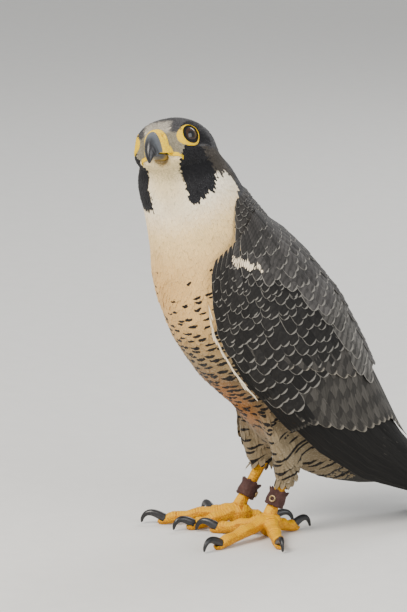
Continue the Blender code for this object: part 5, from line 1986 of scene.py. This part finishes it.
def band_mesh(leg, seed):
    frame_here = frame_along(leg["hub"], leg["heel"])
    rings = []
    for radius, height, wave in BAND_PROFILE:
        ring = []
        for k in range(120):
            turn = 2 * math.pi * k / 120
            frill = 0.55 * math.sin(9 * turn + seed) + 0.25 * math.sin(23 * turn + 2 * seed)
            spot = Vector((math.cos(turn) * 2.2, math.sin(turn) * 2.2, height * 0.35 + seed))
            crumple = 0.22 * noise.noise(spot)
            reach = radius + crumple + 0.5 * wave * frill
            place = Vector((reach * math.cos(turn), reach * math.sin(turn), height + 0.7 * wave * frill))
            ring.append((frame_here @ place) * MM)
        rings.append(ring)
    bm = bmesh.new()
    bridge_rings(bm, rings, round_trip=True)
    return mesh_from(bm, "band")


print("points in the profile of an anklet:", len(BAND_PROFILE))

# %% [markdown]
# A small brass ring lines the hole in each anklet. A torus would do, but a circle that is flattened
# first and then spun once round gives the flatter ring of a pressed eyelet.

# %% Eyelets
def eyelet_frame(leg, side):
    turned = frame_along(leg["hub"], leg["heel"]) @ Matrix.Translation((0, 0, 14.0))
    turned = turned @ Matrix.Rotation(math.radians(-50.0 * side), 4, "Z")
    return turned @ Matrix.Rotation(math.radians(90), 4, "Y") @ Matrix.Translation((0, 0, 7.5))


def eyelet_mesh(leg, side):
    seat = eyelet_frame(leg, side)
    bm = bmesh.new()
    bmesh.ops.create_circle(bm, segments=14, radius=0.62 * MM)
    bmesh.ops.scale(bm, vec=(1.0, 0.75, 1.0), verts=bm.verts)
    bmesh.ops.rotate(bm, cent=(0, 0, 0), matrix=Matrix.Rotation(math.radians(90), 3, "X"), verts=bm.verts)
    bmesh.ops.translate(bm, vec=(2.0 * MM, 0, 0), verts=bm.verts)
    bmesh.ops.spin(bm, geom=bm.verts[:] + bm.edges[:], cent=(0, 0, 0), axis=(0, 0, 1), angle=2 * math.pi,
                   steps=36, use_merge=True)
    bmesh.ops.remove_doubles(bm, verts=bm.verts, dist=1e-6)
    place = seat.copy()
    place.translation *= MM
    bmesh.ops.transform(bm, matrix=place, verts=bm.verts)
    return mesh_from(bm, "eyelet_ring")


for number, (name, leg) in enumerate(LEGS.items()):
    side = 1 if name == "left" else -1
    leather_band, brass_ring = band_mesh(leg, 1.3 + number), eyelet_mesh(leg, side)
    add_piece(f"anklet_{name}_band", leather_band, LEATHER, (f"anklet_{name}",))
    add_piece(f"eyelet_{name}_ring", brass_ring, BRASS, (f"eyelet_{name}",))

# %% [markdown]
# The falcon stands on a plain pale floor under soft studio light: one large light high on the left,
# weaker ones from the right and from behind, and a pale world that fills the shadows. A sky picture
# could do it too, but area lights can be moved one by one.

# %% Floor and lights
def build_floor():
    bm = bmesh.new()
    bmesh.ops.create_grid(bm, x_segments=2, y_segments=2, size=6.0)
    bmesh.ops.translate(bm, vec=(0, 0, -0.0002), verts=bm.verts)
    floor = bpy.data.objects.new("floor", mesh_from(bm, "floor"))
    bpy.context.scene.collection.objects.link(floor)
    finish, w, shader = new_finish("pale_floor", Specular_IOR_Level=0.25)
    fine = w.noise(w.place(), 60.0, 3.0)
    w.plug(w.blend(fine, (0.70, 0.70, 0.68, 1), (0.76, 0.76, 0.74, 1)), shader.inputs["Base Color"])
    w.plug(w.ramp(fine, 0.2, 0.8, 0.6, 0.7), shader.inputs["Roughness"])
    floor.data.materials.append(finish)


def softbox(name, place, target, size, power, colour):
    light = bpy.data.lights.new(name, "AREA")
    light.shape, light.size, light.size_y = "RECTANGLE", size[0], size[1]
    light.energy, light.color = power, colour
    lamp = bpy.data.objects.new(name, light)
    lamp.location = place
    lamp.rotation_euler = (Vector(target) - Vector(place)).to_track_quat("-Z", "Y").to_euler()
    bpy.context.scene.collection.objects.link(lamp)


build_floor()
softbox("key_light", (0.6, -1.6, 1.7), (0, 0, 0.2), (1.2, 1.2), 72, (1.0, 0.94, 0.86))
softbox("fill_light", (1.9, 0.5, 0.9), (0, 0, 0.15), (1.4, 1.4), 22, (0.97, 0.98, 1.0))
softbox("back_light", (-1.2, 1.6, 1.6), (0, 0, 0.2), (1.0, 1.0), 22, (1.0, 1.0, 1.0))
world = bpy.data.worlds.new("pale_sky")
world.use_nodes = True
world.node_tree.nodes["Background"].inputs["Color"].default_value = (0.86, 0.86, 0.86, 1.0)
world.node_tree.nodes["Background"].inputs["Strength"].default_value = 0.75
bpy.context.scene.world = world
print("lights set")

# %% [markdown]
# The camera stands far off with a long lens, at the height and the angle of the photo, so the falcon
# shows the same outline. The size of one pixel at the bird and the distance give the lens.

# %% Camera
AZIMUTH, ELEVATION, DISTANCE = math.radians(65), math.radians(10), 3.2
PICTURE_WIDE, PICTURE_TALL, PIXEL = 407, 612, 0.00074
# Where the bird's own origin, between its feet, appears in the picture, in pixels from the top left.
FEET_ACROSS, FEET_DOWN = 252, 530
SENSOR = 24.0
right = Vector((math.cos(AZIMUTH), math.sin(AZIMUTH), 0))
back = Vector((0, -math.cos(ELEVATION), math.sin(ELEVATION)))
back.rotate(Matrix.Rotation(AZIMUTH, 3, "Z"))
up = back.cross(right)
aim = Vector(SHIFT) * MM + right * ((PICTURE_WIDE / 2 - FEET_ACROSS) * PIXEL)
aim += up * ((FEET_DOWN - PICTURE_TALL / 2) * PIXEL)
camera_data = bpy.data.cameras.new("camera")
camera_data.sensor_fit = "VERTICAL"
camera_data.sensor_height = SENSOR
camera_data.lens = SENSOR * DISTANCE / (PICTURE_TALL * PIXEL)
camera = bpy.data.objects.new("camera", camera_data)
camera.location = aim + back * DISTANCE
camera.rotation_euler = Matrix((right, up, back)).transposed().to_euler()
bpy.context.scene.collection.objects.link(camera)
bpy.context.scene.camera = camera
print("lens in mm:", round(camera_data.lens, 1))
